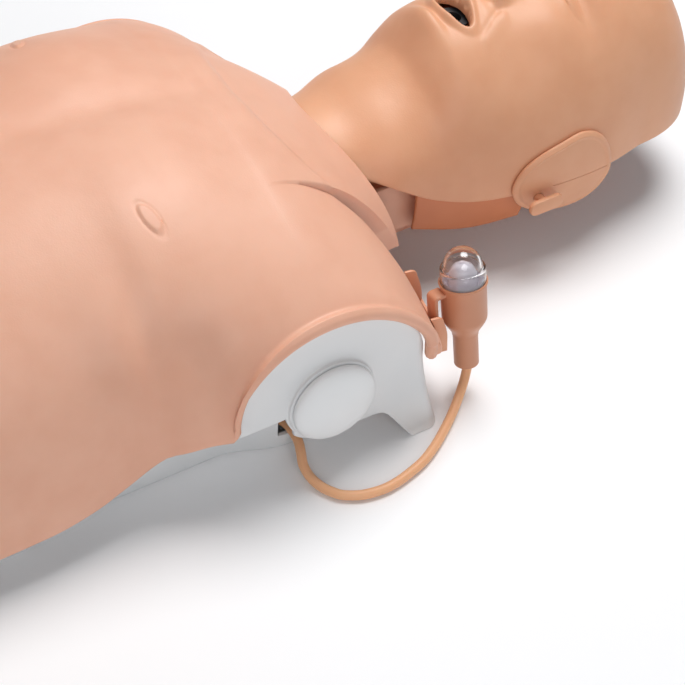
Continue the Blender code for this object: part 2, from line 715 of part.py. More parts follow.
def make_spring_unit():
    floor = TRAY_WALL + GAP
    inner = ROD_RADIUS + RUNNING_GAP
    outer = inner + TUBE_WALL
    top = floor + FLANGE_THICK
    turned("guide_tube", [(outer, TUBE_TOP), (outer, top), (FLANGE_RADIUS, top), (FLANGE_RADIUS, floor),
                          (inner, floor), (inner, TUBE_TOP)], DARK, 16, Matrix.Translation((0, PRESS_Y, 0)))
    plate_low = PLATE_TOP - PLATE_THICK
    rod_end = plate_low - GAP
    rod_low = floor + TRAVEL + MAGNET_THICK + 3 * MM
    turned("guide_rod", [(0.0, rod_end), (SPRING_RADIUS + 8 * MM, rod_end), (SPRING_RADIUS + 8 * MM, rod_end - 3 * MM),
                         (ROD_RADIUS, rod_end - 3 * MM), (ROD_RADIUS, rod_low), (0.0, rod_low)],
           STEEL, 16, Matrix.Translation((0, PRESS_Y, 0)))
    turned("trigger_magnet", [(0.0, rod_low - GAP), (MAGNET_RADIUS, rod_low - GAP),
                              (MAGNET_RADIUS, rod_low - GAP - MAGNET_THICK), (0.0, rod_low - GAP - MAGNET_THICK)],
           STEEL, 16, Matrix.Translation((0, PRESS_Y, 0)))
    low = top + GAP + SPRING_WIRE / 2
    high = rod_end - 3 * MM - GAP - SPRING_WIRE / 2
    curve = bpy.data.curves.new("compression_spring", "CURVE")
    curve.dimensions = "3D"
    curve.bevel_depth = SPRING_WIRE / 2
    curve.bevel_resolution = 1
    curve.use_fill_caps = True
    steps = 8 * SPRING_TURNS
    spline = curve.splines.new("POLY")
    spline.points.add(steps)
    for i, point in enumerate(spline.points):
        turn = 2 * math.pi * SPRING_TURNS * i / steps
        rise = min(max((i / steps * SPRING_TURNS - 0.6) / (SPRING_TURNS - 1.2), 0.0), 1.0)
        point.co = (SPRING_RADIUS * math.cos(turn), PRESS_Y + SPRING_RADIUS * math.sin(turn), mix(low, high, rise), 1)
    spring = bpy.data.objects.new("compression_spring", curve)
    curve.materials.append(STEEL)
    MANIKIN.objects.link(spring)


def make_chest_plate():
    shares = (-1.0, -0.83, -0.67, -PLATE_FLAT, 0.0, PLATE_FLAT, 0.67, 0.83, 1.0)
    rows = []
    for b in shares:
        row = []
        for a in shares:
            x = PLATE_HALF_X * a * math.sqrt(1 - 0.42 * b * b)
            y = PRESS_Y + PLATE_HALF_Y * b * math.sqrt(1 - 0.30 * a * a)
            past = max(max(abs(a), abs(b)) - PLATE_FLAT, 0.0) / (1 - PLATE_FLAT)
            row.append(Vector((x, y, PLATE_TOP - PLATE_DROP * past ** 2 * (0.5 + 0.5 * abs(a)))))
        rows.append(row)
    mesh = rows_mesh("chest_plate", rows)
    obj = add_object("chest_plate", mesh, DARK)
    solidify(obj, PLATE_THICK)
    return obj


def make_lung_bag():
    low = PLATE_TOP + GAP
    rows = []
    sheet = ((0.0, 0.10), (0.12, 0.75), (0.3, 1.0), (0.7, 1.0), (0.9, 0.8), (1.0, 0.3))
    for share, width in sheet:
        y = mix(PRESS_Y - 30 * MM, PRESS_Y + 34 * MM, share)
        rows.append([Vector((26 * MM * width * a, y, low)) for a in (-1, -0.5, 0, 0.5, 1)])
    mesh = rows_mesh("lung_bag", rows)
    obj = add_object("lung_bag", mesh, FILM)
    solidify(obj, 3 * MM, offset=1.0)
    return obj


def place_screw(name, seat, turn=Matrix()):
    """A screw with its head just off the seat, pointing down unless it is turned."""
    outline = [(0.0, SCREW_HEAD), (SCREW_HEAD_RADIUS * 0.7, SCREW_HEAD), (SCREW_HEAD_RADIUS, SCREW_HEAD * 0.35),
               (SCREW_HEAD_RADIUS, 0.0), (SCREW_RADIUS, 0.0), (SCREW_RADIUS, -SCREW_LENGTH), (0.0, -SCREW_LENGTH)]
    turned(name, outline, STEEL, 8, Matrix.Translation(seat) @ turn @ Matrix.Translation((0, 0, GAP)))


def make_electronics():
    half_x, half_y, height = BOX_SIZE[0] / 2, BOX_SIZE[1] / 2, BOX_SIZE[2]
    floor = TRAY_WALL + GAP
    outline = rounded_box_outline(half_x, half_y, BOX_CORNER, (BOX_X, BOX_Y), 3)
    box_tub = tub_mesh("electronics_box", lambda level: outline, ((floor,), (floor + height,)))
    box = add_object("electronics_box", box_tub, DARK)
    solidify(box, BOX_WALL)
    port = cylinder_mesh("gland_port", CABLE_RADIUS + BOX_WALL, 12 * MM, 10, "X")
    port.transform(Matrix.Translation((BOX_X + half_x, GLAND_Y, GLAND_Z)))
    boolean(box, add_cutter("gland_port", port))

    lid_z = floor + height + GAP
    lid_mesh = plate_mesh("electronics_lid", outline, LID_THICK)
    lid_mesh.transform(Matrix.Translation((0, 0, lid_z + LID_THICK / 2)))
    lid = add_object("electronics_lid", lid_mesh, DARK)
    for side in (1, -1):
        spot = (BOX_X - half_x + 6 * MM, BOX_Y + side * (half_y - 6 * MM))
        pillar_top = floor + height - GAP
        pillar = cylinder_mesh(f"box_pillar_{side}", 4 * MM, pillar_top - floor - BOX_WALL / 2, 10)
        pillar.transform(Matrix.Translation((*spot, (pillar_top + floor + BOX_WALL / 2) / 2)))
        boolean(box, add_cutter(pillar.name, pillar), "UNION")
        for target, high in ((box, pillar_top), (lid, lid_z)):
            hole = cylinder_mesh(f"lid_hole_{side}_{target.name}", SCREW_RADIUS + GAP, 2 * SCREW_LENGTH, 8)
            hole.transform(Matrix.Translation((*spot, high)))
            boolean(target, add_cutter(hole.name, hole))
        place_screw(f"lid_screw_{'front' if side > 0 else 'back'}", (*spot, lid_z + LID_THICK))

    bed = floor + BOX_WALL + GAP
    for i in range(3):
        x = BOX_X - half_x + 17 * MM + i * (2 * CELL_RADIUS + 0.6 * MM)
        can = [(0.0, CELL_LENGTH / 2), (2.5 * MM, CELL_LENGTH / 2), (2.5 * MM, CELL_LENGTH / 2 - MM),
               (CELL_RADIUS, CELL_LENGTH / 2 - MM), (CELL_RADIUS, -CELL_LENGTH / 2), (0.0, -CELL_LENGTH / 2)]
        place = Matrix.Translation((x, BOX_Y - 14 * MM, bed + CELL_RADIUS)) @ Matrix.Rotation(math.pi / 2, 4, "X")
        turned(f"battery_{i + 1}", can, CELL, 12, place)
    board_z = bed + 2 * CELL_RADIUS + GAP
    board = box_mesh("circuit_board", (BOX_X - half_x + 12 * MM, BOX_Y - half_y + 4 * MM, board_z),
                     (BOX_X + half_x - 4 * MM, BOX_Y + half_y - 22 * MM, board_z + BOARD_THICK))
    add_object("circuit_board", board, CIRCUIT, smooth=False)

    seat = BOX_X + half_x + GAP
    bore = CABLE_RADIUS + GAP
    profile = [(bore + 1.2 * MM, GLAND_LENGTH), (GLAND_RADIUS * 0.75, GLAND_LENGTH), (GLAND_RADIUS, 4 * MM),
               (GLAND_RADIUS, 0.0), (bore + 1.2 * MM, 0.0)]
    place = Matrix.Translation((seat, GLAND_Y, GLAND_Z)) @ Matrix.Rotation(math.pi / 2, 4, "Y")
    turned("cable_gland", profile, DARK, 16, place)


def make_depth_switch():
    x = FLANGE_RADIUS + 3 * MM
    low = TRAY_WALL + GAP
    body = box_mesh("depth_switch", (-x - 12 * MM, PRESS_Y - 9 * MM, low), (-x, PRESS_Y + 9 * MM, low + 22 * MM))
    obj = add_object("depth_switch", body, DARK, smooth=False)
    button = cylinder_mesh("switch_nose", 3 * MM, 6 * MM, 8, "X")
    button.transform(Matrix.Translation((-x + 1 * MM, PRESS_Y, low + 15 * MM)))
    boolean(obj, add_cutter("switch_nose", button), "UNION")
    chamfer(obj, 0.8 * MM)


def make_neck_bracket():
    front = FRAME_FRONT_Y + GAP
    low, high = BRACKET_BASE_Z, BRACKET_BASE_Z + BRACKET_HEIGHT
    obj = add_object("neck_bracket", box_mesh("neck_bracket", (-BRACKET_HALF, front, low),
                                              (BRACKET_HALF, BRACKET_END_Y, low + BRACKET_WALL)), SKIN, smooth=False)
    flange = box_mesh("bracket_flange", (-BRACKET_HALF, front, SKIRT_Z + 2 * MM),
                      (BRACKET_HALF, front + BRACKET_WALL, DECK_TOP - MM))
    boolean(obj, add_cutter("bracket_flange", flange), "UNION")
    for side in (1, -1):
        outline = [(front, low), (BRACKET_END_Y, low), (NECK_Y - EAR_RADIUS, NECK_Z - EAR_RADIUS)]
        outline += [(NECK_Y + EAR_RADIUS * math.cos(a), NECK_Z + EAR_RADIUS * math.sin(a))
                    for a in [math.radians(-75 + 165 * i / 9) for i in range(10)]]
        outline += [(BRACKET_END_Y, high), (COLLAR_Y + 8 * MM, high), (front, DECK_TOP - MM)]
        wall = plate_mesh(f"bracket_wall_{side}", outline, BRACKET_WALL)
        wall.transform(Matrix.Translation((side * (BRACKET_HALF - BRACKET_WALL / 2), 0, 0)) @ FACING_X)
        boolean(obj, add_cutter(wall.name, wall), "UNION")
        spot = Vector((side * BRACKET_HALF / 2, front, BRACKET_BASE_Z + 9 * MM))
        hole = cylinder_mesh(f"bracket_hole_{side}", SCREW_RADIUS + GAP, 20 * MM, 8, "Y")
        hole.transform(Matrix.Translation(spot))
        cutter = add_cutter(hole.name, hole)
        boolean(obj, cutter)
        boolean(bpy.data.objects["torso_frame"], cutter)
        place_screw(f"bracket_screw_{'left' if side > 0 else 'right'}", (spot.x, front + BRACKET_WALL, spot.z),
                    Matrix.Rotation(-math.pi / 2, 4, "X"))
    bore = cylinder_mesh("bracket_bore", PIN_RADIUS + GAP, 4 * BRACKET_HALF, 14, "X")
    bore.transform(Matrix.Translation((0, NECK_Y, NECK_Z)))
    boolean(obj, add_cutter("bracket_bore", bore))
    pin_half = head_side(NECK_Y, NECK_Z) - MASK_WALL - 2 * MASK_FIT - SKULL_WALL / 2
    pin = cylinder_mesh("neck_pin", PIN_RADIUS, 2 * pin_half, 14, "X")
    pin.transform(Matrix.Translation((0, NECK_Y, NECK_Z)))
    add_object("neck_pin", pin, STEEL)


# Head: widths, heights and the level of the widest place, against the distance along Y
HEAD_HALF = [(y * MM, v * MM) for y, v in
             ((62, 66), (98, 66.5), (120, 68.5), (148, 73), (184, 81), (224, 86.5), (270, 84.5), (305, 77))]
HEAD_TOP = [(y * MM, v * MM) for y, v in
            ((62, 136), (88, 146), (112, 152), (130, 161), (143, 176), (156, 186), (190, 190), (240, 194), (285, 199))]
HEAD_MIDDLE = [(y * MM, v * MM) for y, v in ((62, 104), (98, 97), (124, 88), (150, 85))]
MASK_RIM = [(y * MM, v * MM) for y, v in ((58, 96), (80, 93), (98, 94), (120, 81), (148, 70), (184, 67), (380, 64))]
CROWN_START = 285 * MM
UNDERSIDE = 105 * MM
NECK_CLEAR = 2.5 * MM
SKULL_START = 111 * MM
SKULL_TOP_INSET = 12.5 * MM
BAND_LOW = [(y * MM, v * MM) for y, v in ((111, 50), (157, 35), (198, 36))]
BAND_END = 198 * MM
PEG_BAND_LOW = 50 * MM
PEG_BAND_END = 236 * MM
SKULL_LOW = 70 * MM


def skull_crown(inset):
    """Where the head form ends at the crown: an inner form ends well short of the outer one."""
    return CROWN_Y - 3 * inset


def head_section(y, inset_side=0.0, inset_top=0.0):
    """Half width, top and widest level of the plain head form at a place along Y."""
    end = skull_crown(inset_side)
    share = min(max((y - CROWN_START) / (end - CROWN_START), 0.0), 1.0)
    half = (along(HEAD_HALF, y) - inset_side) * (1 - share ** 3) ** 0.4545
    middle = along(HEAD_MIDDLE, y)
    full = along(HEAD_TOP, y) - inset_top
    rim = along(MASK_RIM, y)
    top = rim + (full - rim) * (1 - share ** 2.6) ** 0.4545
    return half, top, mix(middle, rim, share ** 8)


def head_side(y, z):
    """Half width of the plain head form at a height."""
    half, top, middle = head_section(y)
    if z >= middle:
        return half * math.sqrt(max(1 - ((z - middle) / (top - middle)) ** 2, 0.0))
    return half * math.sqrt(max(1 - ((middle - z) / UNDERSIDE) ** 2, 0.0))


def face_relief(x, y):
    """Height of a plain, generic, resting face over the plain head form."""
    x = abs(x)

    def bump(height, at_x, at_y, wide, long):
        return height * MM * hill(x, y, at_x * MM, at_y * MM, wide * MM, long * MM)

    bridge = ease((y - 200 * MM) / (12 * MM)) * (1 - ease((y - 238 * MM) / (34 * MM)))
    nose = (5 + 14 * (1 - ease((y - 212 * MM) / (50 * MM)))) * bridge
    width = (8.5 + 5 * (1 - ease((y - 212 * MM) / (36 * MM)))) * MM
    lift = nose * MM * math.exp(-(x / width) ** 2)
    lift += bump(6, 12.5, 209, 6.5, 7)
    lift -= bump(7.5, 32, 259, 19, 11)
    lift += bump(6.5, 32, 257.5, 12.5, 8)
    lift += bump(3.0, 27, 273, 24, 7)
    lift += bump(3.5, 46, 232, 20, 20)
    lift += bump(5.0, 0, 192.5, 24, 5)
    lift += bump(5.0, 0, 179, 20, 5.5)
    lift -= bump(3.5, 0, 170, 22, 4.5)
    lift += bump(7.0, 0, 158, 22, 12)
    lift -= bump(3.0, 58, 196, 18, 22)
    return lift


def head_point(theta, y, rim, inset_side=0.0, inset_top=0.0, relief=0.0):
    """A point of the left half of the head: theta runs from the middle line (0) to the rim (1)."""
    half, top, middle = head_section(y, inset_side, inset_top)
    if rim >= middle:
        limit = math.acos(min((rim - middle) / max(top - middle, 0.0001), 1.0))
    else:
        limit = math.pi / 2 + math.asin(min((middle - rim) / UNDERSIDE, 1.0))
    turn = limit * theta ** 1.12
    x = half * math.sin(turn)
    z = middle + math.cos(turn) * ((top - middle) if turn < math.pi / 2 else UNDERSIDE)
    fade = ease((math.cos(turn) - 0.15) / 0.45)
    return Vector((x, y, z + relief * fade * face_relief(x, y)))


def mask_rows(neck_rows, face_rows, crown_rows, columns):
    rows = []
    for i in range(neck_rows):
        row = []
        for j in range(columns + 1):
            near = head_point(j / columns, COLLAR_Y, along(MASK_RIM, COLLAR_Y))
            edge = collar_y(near.x, near.z) + NECK_CLEAR
            y = mix(edge, SKULL_START, i / neck_rows)
            row.append(head_point(j / columns, y, along(MASK_RIM, y), relief=1.0))
        rows.append(row)
    places = [mix(SKULL_START, CROWN_START, i / face_rows) for i in range(face_rows)]
    places += [mix(CROWN_START, CROWN_Y, math.sin(math.pi / 2 * i / crown_rows)) for i in range(crown_rows + 1)]
    for y in places:
        rows.append([head_point(j / columns, y, along(MASK_RIM, y), relief=1.0) for j in range(columns + 1)])
    return rows


def make_face_mask():
    mesh = rows_mesh("face_mask", mask_rows(3, 17, 5, 10), merge=0.00001)
    obj = add_object("face_mask", mesh, MASK)
    mirror(obj)
    solidify(obj, MASK_WALL)
    cutter = cylinder_mesh("mouth", 1.0, 60 * MM, 20)
    cutter.transform(Matrix.Translation((0, MOUTH_Y, along(HEAD_TOP, MOUTH_Y)))
                     @ Matrix.Diagonal((MOUTH_HALF_WIDTH, MOUTH_HALF_HEIGHT, 1, 1)))
    boolean(obj, add_cutter("mouth", cutter))
    return obj


def make_skull():
    side = MASK_WALL + MASK_FIT
    rows = []

    def add_row(y, low):
        rows.append([head_point(j / 7, y, low, side, SKULL_TOP_INSET) for j in range(8)])

    for i in range(6):
        y = mix(SKULL_START, BAND_END, i / 5)
        add_row(y, along(BAND_LOW, y))
    for y in (BAND_END + 0.8 * MM, mix(BAND_END, PEG_BAND_END, 0.5), PEG_BAND_END):
        add_row(y, PEG_BAND_LOW)
    for y in (PEG_BAND_END + 0.8 * MM, mix(PEG_BAND_END, CROWN_START, 0.5)):
        add_row(y, SKULL_LOW)
    end = skull_crown(side)
    for i in range(6):
        add_row(mix(CROWN_START, end, math.sin(math.pi / 2 * i / 5)), SKULL_LOW)
    mesh = rows_mesh("skull_shell", rows, merge=0.00001)
    obj = add_object("skull_shell", mesh, SKULL)
    mirror(obj)
    solidify(obj, SKULL_WALL)
    bore = cylinder_mesh("skull_bore", PIN_RADIUS + GAP, 200 * MM, 14, "X")
    bore.transform(Matrix.Translation((0, NECK_Y, NECK_Z)))
    boolean(obj, add_cutter("skull_bore", bore))
    port = cylinder_mesh("airway_port", AIRWAY_RADIUS + GAP, 60 * MM, 16)
    port.transform(Matrix.Translation((0, MOUTH_Y, along(HEAD_TOP, MOUTH_Y) - SKULL_TOP_INSET)))
    boolean(obj, add_cutter("airway_port", port))
    return obj


def make_airway():
    seat = along(HEAD_TOP, MOUTH_Y) - SKULL_TOP_INSET + 1.2 * MM
    inner = AIRWAY_RADIUS - AIRWAY_WALL
    turned("airway_connector", [(AIRWAY_RADIUS + 4 * MM, seat + 2 * MM), (AIRWAY_RADIUS + 4 * MM, seat),
                                (AIRWAY_RADIUS, seat), (AIRWAY_RADIUS, seat - AIRWAY_LENGTH),
                                (inner, seat - AIRWAY_LENGTH), (inner, seat + 2 * MM)],
           DARK, 16, Matrix.Translation((0, MOUTH_Y, 0)))


def tab_outline(angle):
    """The ear tab's edge as (y, z): an egg, blunt towards the crown."""
    along_y = math.cos(angle)
    y = TAB_Y - 2 * MM + TAB_HALF * math.copysign(abs(along_y) ** 0.85, along_y)
    z = TAB_Z + TAB_RISE * math.copysign(abs(math.sin(angle)) ** 0.85, math.sin(angle)) * (0.88 + 0.14 * along_y)
    return y, z


def make_ear_tabs():
    rings, around = 3, 22
    for side, word in ((1, "left"), (-1, "right")):
        bm = bmesh.new()
        centre = bm.verts.new((side * (head_side(TAB_Y, TAB_Z) + MASK_FIT), TAB_Y, TAB_Z))
        loops = []
        for ring in range(1, rings + 1):
            share = ring / rings
            loop = []
            for k in range(around):
                edge_y, edge_z = tab_outline(2 * math.pi * k / around)
                y, z = mix(TAB_Y, edge_y, share), mix(TAB_Z, edge_z, share)
                loop.append(bm.verts.new((side * (head_side(y, z) + MASK_FIT), y, z)))
            loops.append(loop)
        for k in range(around):
            n = (k + 1) % around
            bm.faces.new((centre, loops[0][k], loops[0][n]))
            for inner, outer in zip(loops, loops[1:]):
                bm.faces.new((inner[k], outer[k], outer[n], inner[n]))
        bmesh.ops.recalc_face_normals(bm, faces=bm.faces)
        if (bm.faces[:][0].normal.x > 0) != (side > 0):
            bmesh.ops.reverse_faces(bm, faces=bm.faces)
        mesh = bpy.data.meshes.new(f"ear_tab_{word}")
        bm.to_mesh(mesh)
        bm.free()
        tab = add_object(f"ear_tab_{word}", mesh, MASK)
        solidify(tab, TAB_THICK, offset=1.0)
        hole = cylinder_mesh(f"tab_hole_{word}", PEG_RADIUS + GAP, 60 * MM, 12, "X")
        hole.transform(Matrix.Translation((side * head_side(PEG_Y, PEG_Z), PEG_Y, PEG_Z)))
        boolean(tab, add_cutter(hole.name, hole))

        seat = head_side(PEG_Y, PEG_Z) - MASK_WALL - MASK_FIT + PEG_SEAT
        post_end = head_side(PEG_Y, PEG_Z) + MASK_FIT + TAB_THICK + PEG_SEAT + 1.2 * MM
        post = cylinder_mesh(f"mask_peg_{word}", PEG_RADIUS, post_end - seat, 12, "X")
        post.transform(Matrix.Translation((side * (seat + post_end) / 2, PEG_Y, PEG_Z)))
        peg = add_object(f"mask_peg_{word}", post, MASK)
        outline = rounded_box_outline(PEG_HEAD_HALF, PEG_HEAD_RISE, PEG_HEAD_RISE * 0.95)
        bar = plate_mesh(f"peg_bar_{word}", outline, PEG_HEAD_THICK)
        bar.transform(Matrix.Translation((side * (post_end + PEG_HEAD_THICK / 2 - 0.2 * MM), PEG_Y, PEG_Z)) @ FACING_X)
        boolean(peg, add_cutter(bar.name, bar), "UNION")


def lamp_foot():
    return Vector((LAMP_X, front_edge_y(POCKET_X) + LAMP_AHEAD, LAMP_Z))


def lamp_place():
    return Matrix.Translation(lamp_foot()) @ Matrix.Rotation(-LAMP_LEAN, 4, "Y")


def make_lamp():
    place = lamp_place()
    cone_top = SLEEVE_LENGTH + CONE_LENGTH
    top = cone_top + BARREL_LENGTH
    bore = CABLE_RADIUS + GAP
    depth = 14 * MM
    cavity = LAMP_RADIUS - LAMP_WALL
    outer = [(LAMP_RADIUS + LAMP_RIM - 0.5 * MM, top), (LAMP_RADIUS + LAMP_RIM, top - 0.8 * MM),
             (LAMP_RADIUS + LAMP_RIM, top - 2.4 * MM), (LAMP_RADIUS, top - 3.6 * MM), (LAMP_RADIUS, cone_top),
             (SLEEVE_RADIUS + 0.4 * MM, SLEEVE_LENGTH), (SLEEVE_RADIUS, SLEEVE_LENGTH - MM), (SLEEVE_RADIUS, 1.2 * MM),
             (SLEEVE_RADIUS - 1.2 * MM, 0.0)]
    inner = [(bore, 0.0), (bore, depth), (2 * MM, depth), (2 * MM, cone_top - 4 * MM), (cavity - 4 * MM, cone_top),
             (cavity, cone_top + 3 * MM), (cavity, top - LENS_SEAT)]
    lip = [(LAMP_RADIUS + 0.3 * MM, top - LENS_SEAT), (LAMP_RADIUS + 0.3 * MM, top)]
    housing = turned("lamp_housing", outer + inner + lip, LAMP_SHELL, 20, place)

    reach = -(LAMP_RADIUS + HOOK_REACH)
    high = top - 4.5 * MM
    tip = (POCKET_LOW + POCKET_WALL + HOOK_FIT - LAMP_Z) / math.cos(LAMP_LEAN)
    bend = 4 * MM
    hook = [(-LAMP_RADIUS + 0.8 * MM, high), (reach + bend, high), (reach + 0.3 * bend, high - 0.3 * bend),
            (reach, high - bend), (reach, tip), (reach + HOOK_THICK, tip),
            (reach + HOOK_THICK, high - HOOK_THICK - 1.5 * MM), (reach + HOOK_THICK + 1.5 * MM, high - HOOK_THICK),
            (-LAMP_RADIUS + 0.8 * MM, high - HOOK_THICK)]
    strap = plate_mesh("lamp_hook", hook, HOOK_WIDTH)
    strap.transform(place @ Matrix.Translation((HOOK_SHIFT, 0, 0)) @ FACING_X)
    boolean(housing, add_cutter("lamp_hook", strap), "UNION")

    seat = top - LENS_SEAT + GAP
    ring = LAMP_RADIUS
    lens_outer = [(0.0, LENS_HEIGHT)]
    dome = 11.5 * MM
    lens_outer += [(dome * math.sin(math.radians(a)), LENS_HEIGHT - dome + dome * math.cos(math.radians(a)))
                   for a in (18, 36, 54, 68)]
    lens_outer += [(ring - 1.6 * MM, 16.5 * MM), (ring - 0.3 * MM, 15 * MM), (ring, 13 * MM), (ring, 0.0)]
    lens_inner = [(ring - 2.4 * MM, 0.0), (ring - 2.4 * MM, 11 * MM), (10 * MM, 14 * MM), (0.0, LENS_HEIGHT - 2.6 * MM)]
    profile = [(r, z + seat) for r, z in lens_outer + lens_inner]
    turned("lamp_lens", profile, CLEAR, 20, place)

    led_low = cone_top + 3.4 * MM
    led_half = cavity - 0.6 * MM
    led = [(0.0, top + 9 * MM)]
    led += [(LED_RADIUS * math.sin(math.radians(a)), top + 4 * MM + LED_RADIUS * math.cos(math.radians(a)))
            for a in (30, 60, 90)]
    led += [(LED_RADIUS, top - 3.4 * MM), (led_half, top - 3.4 * MM), (led_half, led_low), (0.0, led_low)]
    turned("lamp_led", led, LED_LIGHT, 14, place)


def make_lamp_pocket():
    half = POCKET_LENGTH / 2
    depth, wall, low = POCKET_DEPTH, POCKET_WALL, POCKET_LOW
    inset = 0.2 * MM
    place = (Matrix.Translation((POCKET_X, front_edge_y(POCKET_X) + POCKET_CLEAR, 0))
             @ Matrix.Rotation(POCKET_TURN, 4, "Z"))
    inner_top, outer_top = low + POCKET_INNER_RISE, low + POCKET_OUTER_RISE
    outline = [(-half, low), (half, low), (half, outer_top), (half - wall, outer_top), (half - wall, low + wall),
               (wall - half, low + wall), (wall - half, inner_top), (-half, inner_top)]
    mesh = plate_mesh("lamp_pocket", outline, depth)
    mesh.transform(place @ Matrix.Translation((0, depth / 2, 0)) @ FACING_Y)
    mesh.flip_normals()
    obj = add_object("lamp_pocket", mesh, SKIN, smooth=False)
    parts = {
        "pocket_back": ((inset - half, inset, low + inset), (half - inset, wall / 2 + inset, SKIN_EDGE_Z - MM)),
        "pocket_front": ((inset - half, depth - wall, low + inset), (half - inset, depth - inset, low + 9 * MM)),
    }
    for name, (corner, opposite) in parts.items():
        piece = box_mesh(name, corner, opposite)
        piece.transform(place)
        boolean(obj, add_cutter(name, piece), "UNION")
    reach = place @ Vector((-4 * MM, wall / 2, 0))
    arm = box_mesh("pocket_arm", (reach.x - 8 * MM, FRAME_FRONT_Y + GAP, low + 2 * inset),
                   (reach.x + 4 * MM, reach.y, DECK_TOP - 3 * MM))
    boolean(obj, add_cutter("pocket_arm", arm), "UNION")
    return obj


def cable_route():
    """The route's own points, moved with the gland at one end and with the lamp at the other."""
    route = [Vector(point) for point in CABLE_ROUTE]
    at_gland = Vector((BOX_X + BOX_SIZE[0] / 2 - MM, GLAND_Y, GLAND_Z)) - route[0]
    at_lamp = lamp_foot() - route[CABLE_LAMP_POINT]
    last = len(route) - 1
    return [point + at_gland * (1 - ease(i / last)) + at_lamp * ease(i / last) for i, point in enumerate(route)]


def make_cable():
    route = cable_route()
    ends = [2 * route[0] - route[1], *route, 2 * route[-1] - route[-2]]
    curve = bpy.data.curves.new("lamp_cable", "CURVE")
    curve.dimensions = "3D"
    curve.bevel_depth = CABLE_RADIUS
    curve.bevel_resolution = 2
    curve.use_fill_caps = True
    spline = curve.splines.new("POLY")
    spline.points.add(CABLE_POINTS - 1)
    for i, point in enumerate(spline.points):
        place = i / (CABLE_POINTS - 1) * (len(route) - 1)
        k = min(int(place), len(route) - 2)
        t = place - k
        a, b, c, d = ends[k:k + 4]
        at = 0.5 * ((2 * b) + (c - a) * t + (2 * a - 5 * b + 4 * c - d) * t * t + (3 * b - a - 3 * c + d) * t ** 3)
        point.co = (*at, 1.0)
    curve.materials.append(CABLE)
    MANIKIN.objects.link(bpy.data.objects.new("lamp_cable", curve))


make_torso_frame()
make_base_tray()
make_chest_skin()
make_arm_caps()
make_spring_unit()
make_chest_plate()
make_lung_bag()
make_electronics()
make_depth_switch()
for number, (post_x, post_y) in enumerate(POSTS):
    place_screw(f"frame_screw_{number + 1}", (post_x, post_y, DECK_TOP))
make_neck_bracket()
make_skull()
make_face_mask()
make_airway()
make_ear_tabs()
make_lamp()
make_lamp_pocket()
make_cable()
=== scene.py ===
"""Looks of a CPR training manikin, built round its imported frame.

+X is the manikin's left, +Y points to the crown of the head and +Z is up, in metres.
"""
import bpy
import bmesh
import math
import numpy as np
from mathutils import Matrix, Vector


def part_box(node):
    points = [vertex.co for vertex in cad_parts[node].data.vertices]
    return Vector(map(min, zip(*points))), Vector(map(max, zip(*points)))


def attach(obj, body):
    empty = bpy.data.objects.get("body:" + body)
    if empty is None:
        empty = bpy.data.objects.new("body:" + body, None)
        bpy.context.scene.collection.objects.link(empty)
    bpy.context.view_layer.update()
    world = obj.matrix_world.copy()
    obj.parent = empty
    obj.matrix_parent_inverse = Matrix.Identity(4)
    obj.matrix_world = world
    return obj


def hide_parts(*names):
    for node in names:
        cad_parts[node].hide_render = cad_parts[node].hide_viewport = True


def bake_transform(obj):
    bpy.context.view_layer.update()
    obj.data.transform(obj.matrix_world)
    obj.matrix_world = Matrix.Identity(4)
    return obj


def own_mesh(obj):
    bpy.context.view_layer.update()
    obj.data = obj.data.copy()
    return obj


MM = 0.001
DRAW_IN = 10 * MM
EDGE_ROLLS = 5
ON_AXIS = 1e-7
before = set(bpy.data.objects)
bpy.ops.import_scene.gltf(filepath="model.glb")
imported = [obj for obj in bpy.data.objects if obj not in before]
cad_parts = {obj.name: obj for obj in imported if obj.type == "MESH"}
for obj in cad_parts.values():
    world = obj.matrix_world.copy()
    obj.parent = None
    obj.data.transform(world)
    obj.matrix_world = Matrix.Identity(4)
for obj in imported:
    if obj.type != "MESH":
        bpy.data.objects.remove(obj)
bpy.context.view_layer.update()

# Driving sizes of the torso, as the frame has them
SKIN_LOW, SKIN_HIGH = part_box("chest_skin")
CAP_LOW, CAP_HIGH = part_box("arm_cap_left")
SHOULDER_HALF = SKIN_HIGH.x
WAIST_Y = SKIN_LOW.y
SKIN_WALL = 5 * MM
DECK_TOP = 60 * MM
SKIN_EDGE_Z = DECK_TOP + 0.6 * MM
ARM_Y = (CAP_LOW.y + CAP_HIGH.y) / 2
BOSS_Z = (CAP_LOW.z + CAP_HIGH.z) / 2
CAP_RADIUS = (CAP_HIGH.z - CAP_LOW.z) / 2
ARM_RADIUS = 72 * MM
COLLAR_HALF = 80 * MM
COLLAR_RISE = 95 * MM
COLLAR_Z = 50 * MM
COLLAR_Y = 54 * MM
COLLAR_SWEEP = 34 * MM
COLLAR_POWER = 1.84
COLLAR_SHARE = 0.5
GAP = 0.3 * MM
FRAME_HALF = 185 * MM
FRAME_WALL = 3.5 * MM
FRAME_FRONT_Y = 45 * MM
PRESS_Y = -107 * MM

# Head
CROWN_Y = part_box("face_mask")[1].y
MASK_WALL = 4 * MM
MASK_FIT = 0.5 * MM
NECK_Y = 140 * MM
NECK_Z = 80 * MM
MOUTH_Y = 176 * MM
MOUTH_HALF = (21 * MM, 7.5 * MM)


def ease(t):
    t = min(max(t, 0.0), 1.0)
    return t * t * (3 - 2 * t)


def mix(a, b, t):
    return a + (b - a) * t


def bell(t):
    return math.exp(-t * t)


